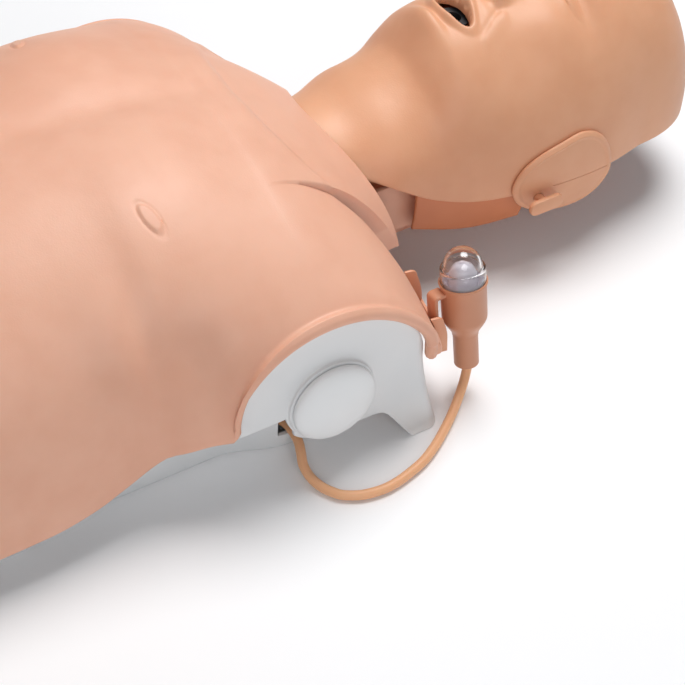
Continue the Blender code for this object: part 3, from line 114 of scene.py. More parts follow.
def along(stations, at):
    """Value at a place along a smooth curve through (place, value) stations, in rising order."""
    if at <= stations[0][0]:
        return stations[0][1]
    if at >= stations[-1][0]:
        return stations[-1][1]
    slopes = []
    for i in range(len(stations)):
        left = stations[max(i - 1, 0)]
        right = stations[min(i + 1, len(stations) - 1)]
        slopes.append((right[1] - left[1]) / (right[0] - left[0]))
    for i in range(len(stations) - 1):
        (a, va), (b, vb) = stations[i], stations[i + 1]
        if at <= b:
            h = b - a
            t = (at - a) / h
            return ((1 + 2 * t) * (1 - t) ** 2 * va + t * (1 - t) ** 2 * h * slopes[i]
                    + t * t * (3 - 2 * t) * vb + t * t * (t - 1) * h * slopes[i + 1])


def curve_point(a, b, c, d, t):
    """A point between b and c, a share t of the way along a smooth curve through a, b, c and d."""
    return 0.5 * ((2 * b) + (c - a) * t + (2 * a - 5 * b + 4 * c - d) * t * t
                  + (3 * b - a - 3 * c + d) * t ** 3)


def in_mm(*pairs):
    return [(a * MM, b * MM) for a, b in pairs]


def turns_to(end, steps):
    """Angles from 0 to an end, evenly spaced."""
    return spaced((0.0, end, steps))


def spaced(*runs):
    """Places along a line from (start, end, steps) runs that follow each other."""
    places = [runs[0][0]]
    for start, end, steps in runs:
        places += [mix(start, end, i / steps) for i in range(1, steps + 1)]
    return places


# Materials


class Value:
    """A socket in a material that takes part in Python arithmetic."""

    def __init__(self, finish, socket):
        self.finish = finish
        self.socket = socket

    def __add__(self, other):
        return self.finish.math("ADD", self, other)

    def __mul__(self, other):
        return self.finish.math("MULTIPLY", self, other)


class Finish:
    """A material, with the nodes that vary its colour, roughness and relief."""

    def __init__(self, name, **fixed):
        self.material = bpy.data.materials.new(name)
        self.material.use_nodes = True
        self.tree = self.material.node_tree
        self.shader = self.tree.nodes["Principled BSDF"]
        for socket, value in fixed.items():
            self.shader.inputs[socket.replace("_", " ")].default_value = value
        self.place = None

    def node(self, kind, settings, sockets):
        """A node of a type, with its settings set first and then its sockets' values or links."""
        made = self.tree.nodes.new(kind)
        for name, value in settings.items():
            setattr(made, name, value)
        for key, value in sockets.items():
            if isinstance(value, Value):
                self.tree.links.new(value.socket, made.inputs[key])
            else:
                made.inputs[key].default_value = value
        return made

    def math(self, operation, *values):
        made = self.node("ShaderNodeMath", {"operation": operation}, dict(enumerate(values)))
        return Value(self, made.outputs[0])

    def spot(self):
        if self.place is None:
            self.place = Value(self, self.node("ShaderNodeTexCoord", {}, {}).outputs["Object"])
        return self.place

    def noise(self, size, detail=2.0, stretch=(1.0, 1.0, 1.0)):
        """Soft noise from 0 to 1, whose patches are about size metres across."""
        place = self.node("ShaderNodeMapping", {}, {"Vector": self.spot(), "Scale": stretch})
        made = self.node("ShaderNodeTexNoise", {}, {
            "Vector": Value(self, place.outputs[0]), "Scale": 1 / size, "Detail": detail, "Roughness": 0.5})
        return Value(self, made.outputs["Fac"])

    def between(self, value, low, high):
        """0 below low, 1 above high and a smooth run in between."""
        made = self.node("ShaderNodeMapRange", {"interpolation_type": "SMOOTHSTEP"},
                         {"Value": value, "From Min": low, "From Max": high})
        return Value(self, made.outputs["Result"])

    def blend(self, share, first, second):
        sockets = {0: share, 6: colour(first), 7: colour(second)}
        made = self.node("ShaderNodeMix", {"data_type": "RGBA"}, sockets)
        return Value(self, made.outputs[2])

    def relief(self, height, distance):
        made = self.node("ShaderNodeBump", {}, {"Height": height, "Distance": distance, "Strength": 1.0})
        self.put("Normal", Value(self, made.outputs["Normal"]))

    def put(self, socket, value):
        self.tree.links.new(value.socket, self.shader.inputs[socket])


def colour(value):
    """A colour written as sRGB from 0 to 255, in the shader's own light units."""
    if isinstance(value, Value):
        return value
    return (*[(c / 255 / 12.92) if c < 11 else ((c / 255 + 0.055) / 1.055) ** 2.4 for c in value], 1.0)


def soft_vinyl(name, base, deep, roughness):
    """Soft moulded vinyl: faint mottling, a satin skin and a fine grain."""
    finish = Finish(name, Subsurface_Weight=0.10, Subsurface_Scale=0.004,
                    Subsurface_Radius=(1.0, 0.35, 0.2), Specular_IOR_Level=0.42)
    mottle = finish.between(finish.noise(0.11, 3.0) * 0.7 + finish.noise(0.018, 2.0) * 0.3, 0.36, 0.68)
    finish.put("Base Color", finish.blend(mottle * 0.55, base, deep))
    finish.put("Roughness", finish.noise(0.03) * 0.10 + (roughness - 0.05))
    finish.relief(finish.noise(0.0011, 2.0) * 0.5 + finish.noise(0.012, 2.0), 0.00016)
    return finish.material


def moulded_plastic(name, base, deep, roughness, grain=0.0008):
    """Hard moulded plastic: an even colour with faint clouding and a fine spark-eroded grain."""
    finish = Finish(name, Specular_IOR_Level=0.45)
    cloud = finish.between(finish.noise(0.07, 3.0), 0.38, 0.66)
    finish.put("Base Color", finish.blend(cloud * 0.6, base, deep))
    finish.put("Roughness", finish.noise(0.02) * 0.12 + (roughness - 0.06))
    finish.relief(finish.noise(grain, 2.0), 0.00005)
    return finish.material


def drawn_metal(name, base, roughness, stretch):
    """Bright metal with fine drawing lines along one axis."""
    finish = Finish(name, Metallic=1.0)
    lines = finish.noise(0.0006, 2.0, stretch)
    finish.put("Base Color", finish.blend(lines * 0.5, base, [c * 0.82 for c in base]))
    finish.put("Roughness", lines * 0.15 + (roughness - 0.07))
    finish.relief(lines, 0.00002)
    return finish.material


def clear_cover(name):
    """Clear moulded plastic over the lamp."""
    finish = Finish(name, Transmission_Weight=1.0, IOR=1.49, Specular_IOR_Level=0.5)
    finish.put("Base Color", finish.blend(finish.noise(0.02) * 0.4, (252, 252, 252), (244, 246, 248)))
    finish.put("Roughness", finish.noise(0.004) * 0.03 + 0.01)
    return finish.material


def thin_film(name):
    """Clear film that has gone slightly milky along its folds."""
    finish = Finish(name, Specular_IOR_Level=0.5)
    folds = finish.noise(0.009, 3.0, (1.0, 0.35, 1.0))
    finish.put("Base Color", finish.blend(folds, (206, 216, 226), (232, 236, 240)))
    finish.put("Alpha", folds * 0.35 + 0.35)
    finish.put("Roughness", folds * 0.2 + 0.12)
    finish.relief(folds, 0.0006)
    return finish.material


def circuit_finish(name):
    """Lacquered board with tracks under the lacquer."""
    finish = Finish(name, Coat_Weight=0.4, Coat_Roughness=0.15)
    cells = finish.node("ShaderNodeTexBrick", {"offset": 0.35}, {
        "Vector": finish.spot(), "Scale": 60.0, "Mortar Size": 0.06, "Color1": colour((18, 92, 52)),
        "Color2": colour((24, 104, 60)), "Mortar": colour((120, 132, 70))})
    finish.put("Base Color", Value(finish, cells.outputs["Color"]))
    finish.put("Roughness", finish.noise(0.004) * 0.1 + 0.3)
    return finish.material


SKIN = soft_vinyl("torso_vinyl", (232, 178, 152), (221, 160, 132), 0.47)
MASK = soft_vinyl("mask_vinyl", (226, 168, 132), (216, 153, 116), 0.45)
CORE = moulded_plastic("core_plastic", (206, 127, 85), (196, 115, 75), 0.42)
WHITE = moulded_plastic("white_moulding", (226, 227, 228), (219, 221, 223), 0.38)
CAP = moulded_plastic("cap_moulding", (236, 237, 238), (229, 231, 232), 0.40)
LAMP = moulded_plastic("lamp_moulding", (204, 142, 110), (194, 131, 99), 0.40)
CLEAR = clear_cover("lamp_cover")
# The lamp pocket gets a deeper orange-brown than the skin: painted shade that stands in for the shade
# inside the pocket.
POCKET_PAINTED_SHADE = moulded_plastic("pocket_painted_shade", (220, 158, 124), (210, 146, 112), 0.42)
REFLECTOR = moulded_plastic("lamp_reflector", (236, 228, 238), (222, 212, 226), 0.14)
SHEATH = soft_vinyl("cable_sheath", (240, 182, 138), (232, 170, 125), 0.40)
STEEL = drawn_metal("drawn_steel", (196, 198, 202), 0.30, (1.0, 1.0, 0.05))
SPRING = drawn_metal("spring_steel", (150, 152, 156), 0.36, (1.0, 1.0, 1.0))
BLACK = moulded_plastic("black_moulding", (46, 46, 49), (38, 38, 41), 0.50)
BOARD = circuit_finish("circuit_lacquer")
CELL_CAN = drawn_metal("cell_can", (124, 130, 138), 0.34, (1.0, 0.08, 1.0))
FILM = thin_film("bag_film")


# Mesh tools


def grid_faces(rows, columns, wrap=False):
    """Faces between the points of a grid, whose rows may close round."""
    width = columns if wrap else columns - 1
    return [(i * columns + j, i * columns + (j + 1) % columns,
             (i + 1) * columns + (j + 1) % columns, (i + 1) * columns + j)
            for i in range(rows - 1) for j in range(width)]


def mesh_of(name, points, faces):
    mesh = bpy.data.meshes.new(name)
    mesh.from_pydata([tuple(p) for p in points], [], faces)
    mesh.validate()
    return mesh


def mesh_from(bm, name):
    """A mesh with what a bmesh holds; the bmesh is used up."""
    mesh = bpy.data.meshes.new(name)
    bm.to_mesh(mesh)
    bm.free()
    return mesh


def placed(name, data):
    """A new object in the scene."""
    obj = bpy.data.objects.new(name, data)
    bpy.context.scene.collection.objects.link(obj)
    return obj


def outward(mesh):
    """The mesh with its points that meet joined and its faces turned outward."""
    bm = bmesh.new()
    bm.from_mesh(mesh)
    bmesh.ops.remove_doubles(bm, verts=bm.verts, dist=0.00001)
    bmesh.ops.recalc_face_normals(bm, faces=bm.faces)
    bm.to_mesh(mesh)
    bm.free()
    return mesh


def unit(vectors):
    """Vectors along an array's last axis, each brought to a length of 1."""
    return vectors / np.maximum(np.linalg.norm(vectors, axis=-1, keepdims=True), 1e-12)


def grid_normals(grid):
    """Unit normals of a grid of points, from its neighbours along rows and columns."""
    return unit(np.cross(np.gradient(grid, axis=1), np.gradient(grid, axis=0)))


def border(rows, columns):
    """Grid places round the edge of a sheet, once round."""
    loop = [(0, j) for j in range(columns)]
    loop += [(i, columns - 1) for i in range(1, rows)]
    loop += [(rows - 1, j) for j in range(columns - 2, -1, -1)]
    loop += [(i, 0) for i in range(rows - 2, 0, -1)]
    return loop


def draw_in(sheet, normal, moved, out, walls, last, square_edges):
    """Draw a sheet in by half its wall at its first or last row, and add the way that this edge rolls.

    The results go into moved and out, which are arrays of the sheet's own form."""
    order = range(len(sheet))[::-1] if last else range(len(sheet))
    edge, inner = order[0], order[1]
    half_wall = walls[edge][:, None] / 2
    step = sheet[edge] - sheet[inner]
    step = unit(step - normal[edge] * np.sum(step * normal[edge], axis=1, keepdims=True))
    way = step
    if square_edges:
        line = unit(np.gradient(sheet[edge], axis=0))
        way = unit(step - line * np.sum(step * line, axis=1, keepdims=True))
        half_wall = half_wall / np.maximum(np.sum(step * way, axis=1, keepdims=True), 0.5)
    out[edge] += way
    gone = np.zeros((sheet.shape[1], 1))
    before = sheet[edge]
    for k in order:
        gone = gone + np.linalg.norm(sheet[k] - before, axis=1, keepdims=True)
        before = sheet[k]
        near = np.clip(1 - gone / DRAW_IN, 0, 1)
        moved[k] -= step * near * near * (3 - 2 * near) * half_wall


def sheet_shell(name, grid, wall, lift=None, closed=False, tip=False, square_edges=False):
    """A closed shell under a grid of points, with its edges rolled round.

    The wall is one thickness or one for each point. The outline keeps its size, because the sheet is
    drawn in by half the wall before the roll is added. Square edges roll at right angles to the line
    of the edge. A closed grid's last row is its first one again, and a tip is a last row that comes
    to one point."""
    rows, columns = grid.shape[:2]
    walls = np.broadcast_to(wall, (rows, columns))
    normal = grid_normals(grid)
    if closed:
        seam = unit(np.cross(grid[0, 2:] - grid[0, :-2], grid[1, 1:-1] - grid[-2, 1:-1]))
        normal[0] = normal[-1] = np.concatenate([seam[:1], seam, seam[-1:]])
    if tip:
        normal[-1] = (0.0, 1.0, 0.0)
    out, moved = np.zeros_like(grid), grid.copy()
    sheet = (grid, normal, moved, out)
    turned = [array.transpose(1, 0, 2) for array in sheet]
    draw_in(*turned, walls.T, False, square_edges)
    draw_in(*turned, walls.T, True, square_edges)
    if not closed:
        draw_in(*sheet, walls, False, square_edges)
    if not closed and not tip:
        draw_in(*sheet, walls, True, square_edges)
    if tip:
        out[-1] = (0.0, 0.0, -1.0)
    out = unit(out)
    if lift is not None:
        moved = moved + normal * lift[..., None]
    total = rows * columns
    points = [moved.reshape(-1, 3), (moved - normal * walls[..., None]).reshape(-1, 3)]
    faces = grid_faces(rows, columns)
    faces += [tuple(total + v for v in reversed(face)) for face in faces]
    loops = [[(i, j) for i in range(rows)] for j in (0, columns - 1)] if closed else [border(rows, columns)]
    for loop in loops:
        count = len(loop)
        levels = [[i * columns + j for i, j in loop]]
        for k in range(1, EDGE_ROLLS + 1):
            turn = math.pi * k / (EDGE_ROLLS + 1)
            start = sum(len(group) for group in points)
            lean, reach = math.cos(turn) - 1, math.sin(turn)
            points.append(np.array([
                moved[i, j] + (normal[i, j] * lean + out[i, j] * reach) * walls[i, j] / 2
                for i, j in loop]))
            levels.append([start + v for v in range(count)])
        levels.append([total + v for v in levels[0]])
        for a, b in zip(levels, levels[1:]):
            faces += [(a[v], b[v], b[(v + 1) % count], a[(v + 1) % count]) for v in range(count - closed)]
    return outward(mesh_of(name, np.concatenate(points), faces))


def rounded(points, radius, steps):
    """A closed outline with its corners rounded. radius is one value or one for each corner."""
    count = len(points)
    radii = radius if isinstance(radius, list) else [radius] * count
    made = []
    for i, point in enumerate(points):
        here = Vector(point)
        before, after = Vector(points[i - 1]) - here, Vector(points[(i + 1) % count]) - here
        if radii[i] <= 0:
            made.append(tuple(here))
            continue
        angle = before.angle(after, math.pi)
        reach = min(radii[i] / max(math.tan(angle / 2), 1e-6), before.length * 0.48, after.length * 0.48)
        start, end = here + before.normalized() * reach, here + after.normalized() * reach
        for t in [k / steps for k in range(steps + 1)]:
            made.append(tuple(start * (1 - t) ** 2 + here * 2 * t * (1 - t) + end * t * t))
    return made


def turned_mesh(name, profile, steps, place):
    """A solid turned round Z from a closed (radius, height) outline that may touch the axis."""
    bm = bmesh.new()
    rings = []
    for r, z in profile:
        turns = [2 * math.pi * k / steps for k in range(steps)]
        spots = [(r * math.cos(a), r * math.sin(a), z) for a in turns] if r > ON_AXIS else [(0.0, 0.0, z)]
        rings.append([bm.verts.new(place @ Vector(spot)) for spot in spots])
    for a, b in zip(rings, rings[1:] + rings[:1]):
        for k in range(steps):
            n = (k + 1) % steps
            face = list(dict.fromkeys([a[k % len(a)], a[n % len(a)], b[n % len(b)], b[k % len(b)]]))
            if len(face) > 2:
                bm.faces.new(face)
    bmesh.ops.recalc_face_normals(bm, faces=bm.faces)
    return mesh_from(bm, name)


def plate_mesh(name, outline, thickness, place, edge):
    """A flat plate from a closed outline in its own XY plane, with rounded edges."""
    bm = bmesh.new()
    low = [bm.verts.new((a, b, -thickness / 2)) for a, b in outline]
    high = [bm.verts.new((a, b, thickness / 2)) for a, b in outline]
    bm.faces.new(low[::-1])
    bm.faces.new(high)
    for i in range(len(outline)):
        k = (i + 1) % len(outline)
        bm.faces.new((low[i], low[k], high[k], high[i]))
    bmesh.ops.recalc_face_normals(bm, faces=bm.faces)
    sharp = [e for e in bm.edges if len(e.link_faces) == 2 and e.calc_face_angle(0) > math.radians(60)]
    if edge > 0 and sharp:
        bmesh.ops.bevel(bm, geom=sharp, offset=edge, offset_type="OFFSET", segments=2, affect="EDGES",
                        profile=0.5, clamp_overlap=True)
    bm.transform(place)
    return outward(mesh_from(bm, name))


def block_mesh(name, low, high, edge, place=Matrix()):
    """A box between two corners, with rounded edges."""
    centre = [(a + b) / 2 for a, b in zip(low, high)]
    half_x, half_y, _ = [(b - a) / 2 for a, b in zip(low, high)]
    outline = [(-half_x, -half_y), (half_x, -half_y), (half_x, half_y), (-half_x, half_y)]
    place = place @ Matrix.Translation(centre)
    return plate_mesh(name, rounded(outline, edge * 2, 3), high[2] - low[2], place, edge)


FACING_X = Matrix(((0, 0, 1, 0), (1, 0, 0, 0), (0, 1, 0, 0), (0, 0, 0, 1)))
FACING_Y = Matrix(((1, 0, 0, 0), (0, 0, 1, 0), (0, 1, 0, 0), (0, 0, 0, 1)))


def ringed_mesh(name, rings):
    """A closed solid over rings of points, with its first and last ring filled in."""
    count = len(rings[0])
    last = (len(rings) - 1) * count
    faces = grid_faces(len(rings), count, wrap=True)
    faces += [tuple(range(count)), tuple(last + k for k in range(count))]
    return outward(mesh_of(name, [p for ring in rings for p in ring], faces))


def tube_mesh(name, line, radius, sides, side):
    """A round rod along a line of points, with flat ends. Its first side lies towards one direction."""
    rings = []
    for i, point in enumerate(line):
        ahead = (line[min(i + 1, len(line) - 1)] - line[max(i - 1, 0)]).normalized()
        side = (side - ahead * side.dot(ahead)).normalized()
        other = ahead.cross(side)
        turns = [2 * math.pi * k / sides for k in range(sides)]
        rings.append([point + (side * math.cos(turn) + other * math.sin(turn)) * radius for turn in turns])
    return ringed_mesh(name, rings)


def piece(name, mesh, material, body, slot, *nodes, sharp=42):
    """A finished piece of the object, riding on a body and standing for CAD nodes."""
    obj = placed(name, mesh)
    mesh.materials.clear()
    mesh.materials.append(material)
    mesh.shade_smooth()
    mesh.set_sharp_from_angle(angle=math.radians(sharp))
    if body is not None:
        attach(obj, body)
    if nodes:
        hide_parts(*nodes)
    return obj


# Camera, cable and stage
CAMERA_BACK = (0.61663, -0.35601, 0.70215)
CAMERA_RIGHT = (0.5, 0.8660254, 0.0)
CAMERA_PLACE = (0.8147, -0.38467, 0.82469)
SENSOR_WIDTH = 36.0
LENS_LENGTH = 84.66
VIEW_NEAR, VIEW_FAR = 0.02, 60.0
PICTURE_SIDE = 685
FLOOR_HALF = 3.0
FLOOR_FADE = (0.7, 1.8)
SURROUND_LIGHT = 0.19
SURROUND_TINT = (0.93, 0.97, 1.0, 1.0)
LAMPS = (
    ("key_light", (-0.3, 0.55, 1.9), (0.0, 0.0, 0.1), 1.2, 35.0),
    ("fill_light", (1.6, -0.5, 1.0), (0.0, 0.0, 0.1), 1.2, 9.0),
)


def make_camera():
    """The photograph's camera, solved from the arm opening, the cap and the head's edges."""
    data = bpy.data.cameras.new("photo_camera")
    camera = placed("photo_camera", data)
    back = Vector(CAMERA_BACK).normalized()
    right = Vector(CAMERA_RIGHT)
    up = back.cross(right)
    place = Matrix((right, up, back)).transposed().to_4x4()
    place.translation = CAMERA_PLACE
    camera.matrix_world = place
    data.sensor_width = SENSOR_WIDTH
    data.lens = LENS_LENGTH
    data.clip_start, data.clip_end = VIEW_NEAR, VIEW_FAR
    bpy.context.scene.camera = camera


CABLE_RADIUS = 3.4 * MM
CABLE_ROUTE = (
    (0.1310, -0.0660, 0.0240), (0.1370, -0.0660, 0.0240), (0.1430, -0.0570, 0.0208),
    (0.1490, -0.0517, 0.0198), (0.1560, -0.0482, 0.0188), (0.1640, -0.0474, 0.0178),
    (0.1725, -0.0481, 0.0165), (0.1800, -0.0504, 0.0142), (0.1880, -0.0529, 0.0103),
    (0.1968, -0.0522, 0.0065), (0.2050, -0.0492, 0.0042), (0.2125, -0.0450, 0.0038),
    (0.2185, -0.0400, 0.0038), (0.2247, -0.0290, 0.0038), (0.2275, -0.0150, 0.0038),
    (0.2268, -0.0030, 0.0038), (0.2240, 0.0090, 0.0038), (0.2195, 0.0225, 0.0038),
    (0.2120, 0.0362, 0.0038), (0.2035, 0.0486, 0.0040), (0.1945, 0.0605, 0.0046),
    (0.1862, 0.0708, 0.0068), (0.1790, 0.0797, 0.0118), (0.1742, 0.0853, 0.0180),
    (0.1720, 0.0875, 0.0240), (0.1712, 0.0875, 0.0290), (0.1704, 0.0875, 0.0340),
    (0.1698, 0.0875, 0.0375),
)
CABLE_STEPS = 9
CABLE_SIDES = 20


def cable_line():
    """Points close together along a smooth curve through the cable's route."""
    route = [Vector(p) for p in CABLE_ROUTE]
    ends = [2 * route[0] - route[1], *route, 2 * route[-1] - route[-2]]
    line = []
    for k in range(len(route) - 1):
        line += [curve_point(*ends[k:k + 4], i / CABLE_STEPS) for i in range(CABLE_STEPS)]
    return [*line, route[-1]]


def make_cable():
    line = cable_line()
    mesh = tube_mesh("lamp_cable_sheath", line, CABLE_RADIUS, CABLE_SIDES, Vector((0, 1, 0)))
    cable = piece("lamp_cable_sheath", mesh, SHEATH, "torso", "cable_sheath", "lamp_cable")
    length = sum((b - a).length for a, b in zip(line, line[1:]))


def make_floor():
    """A pale floor that turns white farther away."""
    half = FLOOR_HALF
    corners = [(-half, -half, 0), (half, -half, 0), (half, half, 0), (-half, half, 0)]
    floor_mesh = mesh_of("floor", corners, [(0, 1, 2, 3)])
    floor = placed("floor", floor_mesh)
    paper = Finish("floor_paper", Roughness=0.85, Specular_IOR_Level=0.1, Emission_Strength=1.0)
    paper.put("Base Color", paper.blend(paper.noise(0.6) * 0.3, (250, 250, 251), (247, 247, 249)))
    reach = paper.node("ShaderNodeVectorMath", {"operation": "LENGTH"}, {0: paper.spot()})
    seen = Value(paper, paper.node("ShaderNodeLightPath", {}, {}).outputs["Is Camera Ray"])
    far = paper.between(Value(paper, reach.outputs["Value"]), *FLOOR_FADE) * seen
    paper.put("Emission Color", paper.blend(far, (0, 0, 0), (225, 225, 226)))
    floor_mesh.materials.append(paper.material)


def make_surround():
    """A surround that the camera sees as white, and soft light from above."""
    world = bpy.data.worlds.new("surround")
    bpy.context.scene.world = world
    world.use_nodes = True
    tree = world.node_tree
    background = tree.nodes["Background"].inputs
    background["Color"].default_value = SURROUND_TINT
    view_ray = tree.nodes.new("ShaderNodeLightPath")
    strength = tree.nodes.new("ShaderNodeMath")
    strength.operation = "MAXIMUM"
    strength.inputs[1].default_value = SURROUND_LIGHT
    tree.links.new(view_ray.outputs["Is Camera Ray"], strength.inputs[0])
    tree.links.new(strength.outputs[0], background["Strength"])
    for name, place, target, size, power in LAMPS:
        data = bpy.data.lights.new(name, "AREA")
        data.shape, data.size, data.energy = "DISK", size, power
        light = placed(name, data)
        light.location = place
        light.rotation_euler = (Vector(target) - Vector(place)).to_track_quat("-Z", "Y").to_euler()
    scene = bpy.context.scene
    scene.view_settings.view_transform = "Standard"
    scene.render.resolution_x = scene.render.resolution_y = PICTURE_SIDE


# Torso skin: the same form as its CAD solid, and then the detail that the photograph shows
EDGE_IN = in_mm((0, 0), (14, 5), (28, 10), (42, 17), (72, 15), (126, 11), (228, 13), (278, 18))
EDGE_DOWN = in_mm((0, 0), (14, 0.6), (28, 3.6), (42, 8.6), (72, 18.6), (91, 24.6), (126, 28.6), (278, 31))
RIDGE_HEIGHT = in_mm((-380, 158), (-330, 168), (-280, 183), (-200, 199),
                     (-130, 203), (-70, 200), (-30, 191))
SHOULDER_LINE = in_mm((0, 0), (6, 12), (16, 16.5), (48, 22.5), (70, 25),
                      (94, 28.5), (108, 30.3), (111, 31.5), (113.5, 42.5), (119, 46))
SHOULDER_HOLLOW = 0.25
COLLAR_END = math.acos((SKIN_EDGE_Z - COLLAR_Z) / COLLAR_RISE)
NECKLINE = in_mm((0, -5), (35, -3), (57, 2), (75, 10), (90, 21), (100, 36))
NECK_SIDE = in_mm((10, 112), (21, 99), (36, 96), (59, 91.5), (73, 86.5), (90, 84))
NIPPLE = Vector((107 * MM, -111 * MM))
NIPPLE_LEAN = math.radians(15)
NIPPLE_HALF = (10.8 * MM, 4.6 * MM)
EDGE_SOFT = 40 * MM
BEAD_WIDTH = 8.5 * MM
BEAD_LIFT = 3.8 * MM
BEAD_DROP = 0.07
TIP_REACH = 5 * MM
SEARCH_STEPS = 30
PLACE_STEPS = 20
THIN_BY = 2.4 * MM
THIN_RUN = 16 * MM
THIN_HALF = 98 * MM
THIN_FADE = 14 * MM


def hill(x, y, at_x, at_y, wide, long):
    return bell((x - at_x) / wide) * bell((y - at_y) / long)


def skin_edge(u, y):
    """The lower edge that a point of the skin follows, as (x, z), behind the arm's axis.

    At u = 1 it is the edge itself. The farther up a point lies, the softer its line turns into the
    arm opening."""
    back = max(ARM_Y - y, 0.0)
    level = 1 - (back / ARM_RADIUS) ** 2
    rise = ARM_RADIUS * (1 - BEAD_DROP) * math.sqrt((level + math.hypot(level, 1 - u)) / 2)
    past = back - ARM_RADIUS
    past = (past + math.hypot(past, EDGE_SOFT * (1 - u))) / 2
    return SHOULDER_HALF - along(EDGE_IN, past), SKIN_EDGE_Z + rise - along(EDGE_DOWN, past)


def body_relief(x, y, z):
    """Soft muscle forms of the chest, as a shift of a skin point."""
    lift = 4.5 * MM * hill(x, y, 82 * MM, -100 * MM, 46 * MM, 44 * MM)
    lift -= 4.0 * MM * hill(x, y, 0, -95 * MM, 17 * MM, 85 * MM)
    lift += 3.0 * MM * hill(x, y, 62 * MM, 18 * MM, 45 * MM, 10 * MM)
    lift -= 3.0 * MM * hill(x, y, 30 * MM, -262 * MM, 60 * MM, 34 * MM)
    lift -= 4.0 * MM * hill(x, y, 0, -352 * MM, 9 * MM, 8 * MM)
    side = ease((x - 90 * MM) / (60 * MM))
    hollow = 11 * MM * hill(y, z, -122 * MM, 102 * MM, 19 * MM, 46 * MM) * side
    ridge = 5.0 * MM * hill(y, z, -156 * MM, 128 * MM, 15 * MM, 48 * MM) * side
    return Vector((ridge - hollow, 0.0, lift + ridge * 0.4))


def body_point(u, y):
    """A point of the skin behind the arm's axis: u runs from the middle line to the edge."""
    edge_x, edge_z = skin_edge(u, y)
    top = along(RIDGE_HEIGHT, y)
    reach = ease((ARM_Y - y) / (ARM_RADIUS + 32 * MM))
    limit = math.radians(mix(58, 89, reach))
    power = 2 / mix(2.15, 2.6, reach)
    theta = limit * u ** 1.2
    x = edge_x * (math.sin(theta) / math.sin(limit)) ** power
    low = math.cos(limit) ** power
    z = edge_z + (top - edge_z) * (math.cos(theta) ** power - low) / (1 - low)
    return Vector((x, y, z)) + body_relief(x, y, z) * ease((1 - u) / 0.25)


def collar_y(x, z):
    """How far forward the collar's edge lies, in line with a point of the neck."""
    phi = math.atan2(x / COLLAR_HALF, (z - COLLAR_Z) / COLLAR_RISE)
    return COLLAR_Y + COLLAR_SWEEP * math.sin(phi) ** COLLAR_POWER


def front_edge_y(x):
    """Where the skin's front edge lies along Y, over the shoulder."""
    arm_front = ARM_Y + ARM_RADIUS
    reach = COLLAR_Y + COLLAR_SWEEP * math.sin(COLLAR_END) ** COLLAR_POWER - arm_front
    return arm_front + along(SHOULDER_LINE, SHOULDER_HALF - x) * reach / SHOULDER_LINE[-1][1]


def front_edge(u):
    """The front edge of the skin: round the collar, then over the shoulder to the arm."""
    if u <= COLLAR_SHARE:
        phi = COLLAR_END * u / COLLAR_SHARE
        x, z = COLLAR_HALF * math.sin(phi), COLLAR_Z + COLLAR_RISE * math.cos(phi)
        return Vector((x, collar_y(x, z), z))
    notch = front_edge(COLLAR_SHARE)
    x = mix(notch.x, SHOULDER_HALF, math.sin((u - COLLAR_SHARE) / (1 - COLLAR_SHARE) * math.pi / 2))
    return Vector((x, front_edge_y(x), SKIN_EDGE_Z))


def shoulder_point(u, t, start, end):
    """A point of the skin ahead of the arm's axis: t runs from there to the front edge."""
    turn = t * math.pi / 2
    power = 1 + SHOULDER_HOLLOW * (1 - ease((u - 0.8) / 0.2))
    flat = 1 - ease((u - 0.36) / 0.3)
    y = mix(mix(start.y, end.y, math.sin(turn) ** power), mix(start.y, end.y, t), flat)
    z = mix(mix(end.z, start.z, max(math.cos(turn), 0.0) ** power), mix(start.z, end.z, t ** 1.6), flat)
    return Vector((mix(start.x, end.x, ease(t)), y, z))


def skin_lift(x, y, z):
    """Fine raised and sunk detail, measured off the skin's surface."""
    x = abs(x)
    away = Vector((x, y)) - NIPPLE
    across = away.x * math.cos(NIPPLE_LEAN) + away.y * math.sin(NIPPLE_LEAN)
    down = away.y * math.cos(NIPPLE_LEAN) - away.x * math.sin(NIPPLE_LEAN)
    ring = math.hypot(across / NIPPLE_HALF[0], down / NIPPLE_HALF[1])
    lift = 0.0
    if ring < 3 and z > 150 * MM:
        lift += 1.2 * MM * (1 - ease((ring - 0.84) / 0.2)) - 0.7 * MM * bell((ring - 1.12) / 0.13)
    if y > -15 * MM:
        past = min(y - along(NECKLINE, x), along(NECK_SIDE, y) - x)
        deep = mix(2.4, 0.9, ease((y - 12 * MM) / (20 * MM))) * MM
        lift -= deep * (ease(past / (7 * MM)) - 0.3 * bell((past + 4 * MM) / (6 * MM)))
    lift -= 2.5 * MM * hill(x, y, 0, -352 * MM, 4.5 * MM, 4 * MM)
    return lift


def mirrored_grid(half):
    """A whole grid of points from its left half, whose first column is on the middle line."""
    half = np.array(half)
    other = half[:, :0:-1].copy()
    other[..., 0] *= -1
    return np.concatenate([other, half], axis=1)


def bead_share(grid):
    """How much each point of the skin belongs to the rolled bead round the arm opening, from 0 to 1."""
    share = np.zeros(grid.shape[:2])
    for edge in (0, -1):
        near = np.linalg.norm(grid - grid[:, edge:edge + 1 if edge == 0 else None], axis=2)
        near = np.clip((BEAD_WIDTH + 2.5 * MM - near) / (5 * MM), 0, 1)
        along_arch = np.clip((grid[:, edge, 2] - SKIN_EDGE_Z) / (26 * MM), 0, 1)[:, None]
        along_arch = np.where(grid[:, edge, 1:2] > ARM_Y, 1.0, along_arch * (2 - along_arch))
        share = np.maximum(share, near * near * (3 - 2 * near) * along_arch)
    return share


